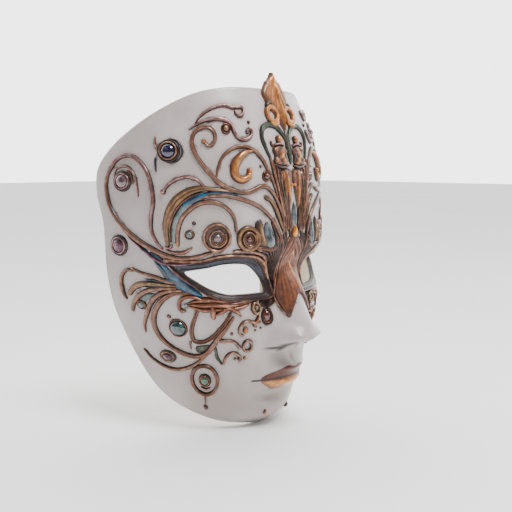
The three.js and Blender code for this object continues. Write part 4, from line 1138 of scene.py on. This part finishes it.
def paint_shell(shell, ornament, outline):
    """Measures what the paint depends on at each point of the shell, and gives the hollow side its look."""
    mesh = shell.data
    points = vectors(mesh.vertices, "co") / MM
    ax, z = np.abs(points[:, 0]), points[:, 2]
    raised = np.vstack([vectors(made.data.vertices, "co")[::2] / MM for made in ornament])
    holes = surface(*spline(EYE_HOLE, 14, True).T)
    holes = np.vstack([holes, holes * (-1, 1, 1)])
    rim = surface(*outline.T)
    lip = np.clip(1 - (ax / LIP_HALF) ** 2, 0, 1)
    corner = MOUTH_LINE - np.clip((ax - 6) / 21, 0, 1) * 1.8
    top = corner + UPPER_LIP * lip ** 0.7 - 1.6 * bump(ax, 4)
    under = corner - LOWER_LIP * lip ** 0.9
    beside = np.clip(ax - 21, 0, 9)
    # Two ellipses of painted shade: the nostrils, and the line round the wing of the nose.
    nostril_shade_ellipse = np.hypot((ax - NOSTRIL_SHADE[0]) / NOSTRIL_SHADE_HALF[0], (z - NOSTRIL_SHADE[1]) / NOSTRIL_SHADE_HALF[1])
    crease_shade_ellipse = np.hypot((ax - CREASE_SHADE[0]) / CREASE_SHADE_HALF[0], (z - CREASE_SHADE[1]) / CREASE_SHADE_HALF[1]) + 0.2
    painted = {
        # Distance to the ornament, for the dirt and painted shade round it.
        "near": nearest(points, raised),
        "hole": nearest(points, holes),
        "rim": nearest(points, rim),
        # How far down the face lies, for painted shade towards the bottom.
        "low": smoothstep((-20 - z) / 70),
        "upper_lip": np.minimum(top - z, z - corner) - beside,
        "lower_lip": np.minimum(z - under, corner - z) - beside,
        # Distance from the mouth line, for the painted shade in its groove.
        "mouth": np.abs(z - corner) + np.clip(ax - 26, 0, 9),
        "nostril_shade": np.minimum(nostril_shade_ellipse, crease_shade_ellipse),
    }
    for name, values in painted.items():
        layer = mesh.attributes.new(name, "FLOAT", "POINT")
        layer.data.foreach_set("value", np.asarray(values, np.float32))
    mesh.materials.append(MATERIALS["inside"])
    from_axis = vectors(mesh.polygons, "center") - (0, 0.02, 0)
    from_axis[:, 2] = 0
    inward = np.einsum("ij,ij->i", vectors(mesh.polygons, "normal"), from_axis) < 0
    mesh.polygons.foreach_set("material_index", inward.astype(int))
    mesh.update()


# ---- Ribbon hardware ----
def hinge_point():
    low, high = (np.array(corner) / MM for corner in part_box("ribbon_loop_l"))
    return np.array([(low[0] + high[0]) / 2, low[1] - LOOP_ALONG[0], (low[2] + high[2]) / 2])


def turned(section, centre, count=32):
    """A ring round the vertical line through centre, from a closed section of (radius, height) pairs."""
    angle = np.linspace(0, 2 * math.pi, count + 1)[:, None]
    radius, high = np.array(section, float).T
    return np.stack([centre[0] + radius * np.cos(angle), centre[1] + radius * np.sin(angle),
                     centre[2] + high + 0 * angle], -1)


def ribbon_patch():
    middle = np.array([HINGE[0] - PATCH_BACK, HINGE[1]])
    across, high = PATCH_ACROSS / 2 - PATCH_CORNER, PATCH_HIGH / 2 - PATCH_CORNER
    outline = []
    for quarter, corner in enumerate([(across, high), (-across, high), (-across, -high), (across, -high)]):
        angle = np.linspace(0, math.pi / 2, 6) + quarter * math.pi / 2
        arc = PATCH_CORNER * np.stack([np.cos(angle), np.sin(angle)], -1)
        outline += list(middle + corner + arc)
    outline = evenly(np.array(outline + outline[:1]), closed=True)
    pad = boss(outline, [(0, PATCH_THICK + 0.3), (0.86, PATCH_THICK + 0.3), (0.96, PATCH_THICK), (1, 0.5)],
               look="leather", rings=24, inside=True)
    seam = evenly(middle + (np.vstack([outline, outline[:1]]) - middle) * SEAM, True, STITCH_STEP)
    stitches = []
    for here, after in zip(seam, np.roll(seam, -1, axis=0)):
        stitches += stitch(here, (after - here) * 0.3)
    outer, bore, half = TUNNEL_RADIUS, TUNNEL_BORE, TUNNEL_LENGTH / 2
    section = [(bore, -half), (outer - 0.4, -half), (outer, 0.4 - half), (outer, half - 0.4),
               (outer - 0.4, half), (bore, half)]
    tunnel = skin(turned(section, hinge_point()), "leather", capped=False, high=1.0)
    return pad + stitches + [tunnel]


def stitch(middle, half):
    """One waxed thread stitch on the inner side, from middle - half to middle + half."""
    t = np.linspace(-1, 1, 9)[:, None]
    u, z = (middle + half * t).T
    centre = on_face(u, z, -(SHELL + PATCH_THICK + 0.15 * (1 - t[:, 0] ** 2)))
    way = centre[-1] - centre[0]
    way /= np.linalg.norm(way)
    outward = on_face(u, z) - centre
    outward /= np.linalg.norm(outward, axis=1, keepdims=True)
    side = np.cross(outward, way)
    angle = np.linspace(0, 2 * math.pi, 8, endpoint=False)
    radius = THREAD_RADIUS * np.sqrt(np.clip(1 - t ** 4, 0.05, 1))
    ring = centre[:, None] + radius[:, None] * (side[:, None] * np.cos(angle)[:, None]
                                                + outward[:, None] * np.sin(angle)[:, None])
    return [skin(ring, "thread", high=1.0)]


def ribbon_loop(name, mirror):
    """A flat brass loop with a slot for the ribbon, on a pin that turns in the leather tunnel."""
    x, y, z = hinge_point()
    made = bmesh.new()
    grid = [[made.verts.new((0, (y + along) * MM, (z + high) * MM)) for high in LOOP_HIGH]
            for along in LOOP_ALONG]
    for i, (near, far) in enumerate(zip(grid, grid[1:])):
        for k in range(len(LOOP_HIGH) - 1):
            open_here = k == 1 and i in (0, 2)
            if not open_here:
                made.faces.new((near[k], far[k], far[k + 1], near[k + 1]))
    mesh = bpy.data.meshes.new(name)
    made.to_mesh(mesh)
    made.free()
    loop = bpy.data.objects.new(name, mesh)
    bpy.context.collection.objects.link(loop)
    thicken = loop.modifiers.new("thick", "SOLIDIFY")
    thicken.thickness = LOOP_THICK * MM
    thicken.offset = 0
    round_off = loop.modifiers.new("round", "BEVEL")
    round_off.width = LOOP_EDGE * MM
    round_off.segments = 3
    round_off.limit_method = "ANGLE"
    bpy.context.view_layer.objects.active = loop
    for modifier in ("thick", "round"):
        bpy.ops.object.modifier_apply(modifier=modifier)
    loop.data.transform(Matrix.Translation((x * MM, 0, 0)))
    if mirror:
        loop.data.transform(Matrix.Scale(-1, 4, (1, 0, 0)))
        loop.data.flip_normals()
    pin = mesh_object(name + "_pin", [skin(turned(PIN, (x, y, z), 24), "brass", capped=False)], mirror)
    with bpy.context.temp_override(active_object=loop, selected_editable_objects=[loop, pin]):
        bpy.ops.object.join()
    loop.data.materials.clear()
    loop.data.materials.append(MATERIALS["brass"])
    loop.data.polygons.foreach_set("material_index", [0] * len(loop.data.polygons))
    loop.data.set_sharp_from_angle(angle=math.radians(40))
    return loop


# ---- Assembly ----
SINGLE = [(crest_leaf, "gold_relief"), (crest_frame, "patina_relief"), (brow_drop, "gold_relief"),
          (nose_plate, "copper_relief")]
PAIRED = [(crest_capital, "gold_relief"), (crest_blade, "gold_relief"), (centre_stem, "copper_relief"),
          (brow_petal, "enamel"), (eye_trim, "copper_relief"), (enamel_brow, "enamel"),
          (enamel_wing, "enamel"), (temple_scroll, "copper_relief"), (brow_leaf, "gold_relief"),
          (brow_scroll, "copper_relief"), (forehead_scroll, "copper_relief"), (forehead_horn, "gold_relief"),
          (rosette_outer, "copper_relief"), (rosette_inner, "gold_relief"), (temple_gem, "cabochon"),
          (temple_cabochon, "cabochon"), (temple_boss, "cabochon"), (cheek_fan, "copper_relief"),
          (cheek_acanthus, "copper_relief"), (cheek_scroll, "copper_relief"),
          (cheek_pendant, "copper_relief"), (pendant_gem, "cabochon"), (cheek_cabochon, "cabochon"),
          (cheek_garnet, "cabochon"), (nose_side_scroll, "copper_relief")]


def stand_for(made, node, body):
    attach(made, body)
    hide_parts(node)


ornament = []
for build, slot in SINGLE:
    node = build.__name__
    made = mesh_object(node + "_look", build())
    stand_for(made, node, "mask")
    ornament.append(made)
for build, slot in PAIRED:
    skins = build()
    for side, mirror in SIDES:
        node = build.__name__ + side
        made = mesh_object(node + "_look", skins, mirror)
        stand_for(made, node, "mask")
        ornament.append(made)
beads = loose_beads()
for side, mirror in SIDES:
    made = mesh_object("loose_beads" + side, beads, mirror)
    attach(made, "mask")
    ornament.append(made)
stand_for(shell_object(ornament), "mask_shell", "mask")
patch = ribbon_patch()
for side, mirror in SIDES:
    stand_for(mesh_object("ribbon_patch" + side + "_look", patch, mirror), "ribbon_patch" + side,
              "mask")
    stand_for(ribbon_loop("ribbon_loop" + side + "_look", mirror), "ribbon_loop" + side,
              "loop" + side)


# ---- Stage: a pale floor, soft lights and the camera ----
def make_floor():
    mesh = bpy.data.meshes.new("floor")
    level = cad_box[0][2] - FLOOR_GAP
    corners = [(x * FLOOR_HALF, y * FLOOR_HALF, level) for x, y in ((-1, -1), (1, -1), (1, 1), (-1, 1))]
    mesh.from_pydata(corners, [], [(0, 1, 2, 3)])
    floor = bpy.data.objects.new("floor", mesh)
    bpy.context.collection.objects.link(floor)
    n = Nodes("floor_paper")
    colour = n.mix(n.map(n.noise(3, 2), 0.3, 0.7), srgb(247, 247, 247), srgb(243, 243, 243))
    mesh.materials.append(n.finish(colour, 0.9, 0.0, n.bump(n.noise(400, 2), 0.01)))


def soft_light(name, place, size, power):
    light = bpy.data.lights.new(name, "AREA")
    light.shape = "DISK"
    light.size = size
    light.energy = power
    lamp = bpy.data.objects.new(name, light)
    lamp.location = place
    lamp.rotation_euler = (Vector(LIT_POINT) - Vector(place)).to_track_quat("-Z", "Y").to_euler()
    bpy.context.collection.objects.link(lamp)


def make_camera():
    data = bpy.data.cameras.new("camera")
    data.sensor_width = SENSOR
    data.lens = LENS
    data.clip_start, data.clip_end = CLIP
    camera = bpy.data.objects.new("camera", data)
    azimuth, elevation = math.radians(CAMERA_AZIMUTH), math.radians(CAMERA_ELEVATION)
    back = Vector((math.sin(azimuth) * math.cos(elevation), -math.cos(azimuth) * math.cos(elevation),
                   math.sin(elevation)))
    camera.rotation_euler = back.to_track_quat("Z", "Y").to_euler()
    camera.location = CAMERA_PLACE
    bpy.context.collection.objects.link(camera)
    bpy.context.scene.camera = camera


def make_world():
    """A white room that is brightest behind the mask."""
    world = bpy.data.worlds.new("studio")
    world.use_nodes = True
    tree = world.node_tree
    way = tree.nodes.new("ShaderNodeTexCoord").outputs["Generated"]
    toward = tree.nodes.new("ShaderNodeVectorMath")
    toward.operation = "DOT_PRODUCT"
    toward.inputs[1].default_value = BACKDROP_WAY
    ramp = tree.nodes.new("ShaderNodeMapRange")
    ramp.interpolation_type = "SMOOTHSTEP"
    for socket, number in (("From Min", -0.1), ("From Max", 0.7), ("To Min", AMBIENT), ("To Max", BACKDROP)):
        ramp.inputs[socket].default_value = number
    tree.links.new(way, toward.inputs[0])
    tree.links.new(toward.outputs["Value"], ramp.inputs["Value"])
    tree.nodes["Background"].inputs["Color"].default_value = (1, 1, 1, 1)
    tree.links.new(ramp.outputs["Result"], tree.nodes["Background"].inputs["Strength"])
    bpy.context.scene.world = world


make_floor()
for light in LIGHTS:
    soft_light(*light)
make_world()
make_camera()
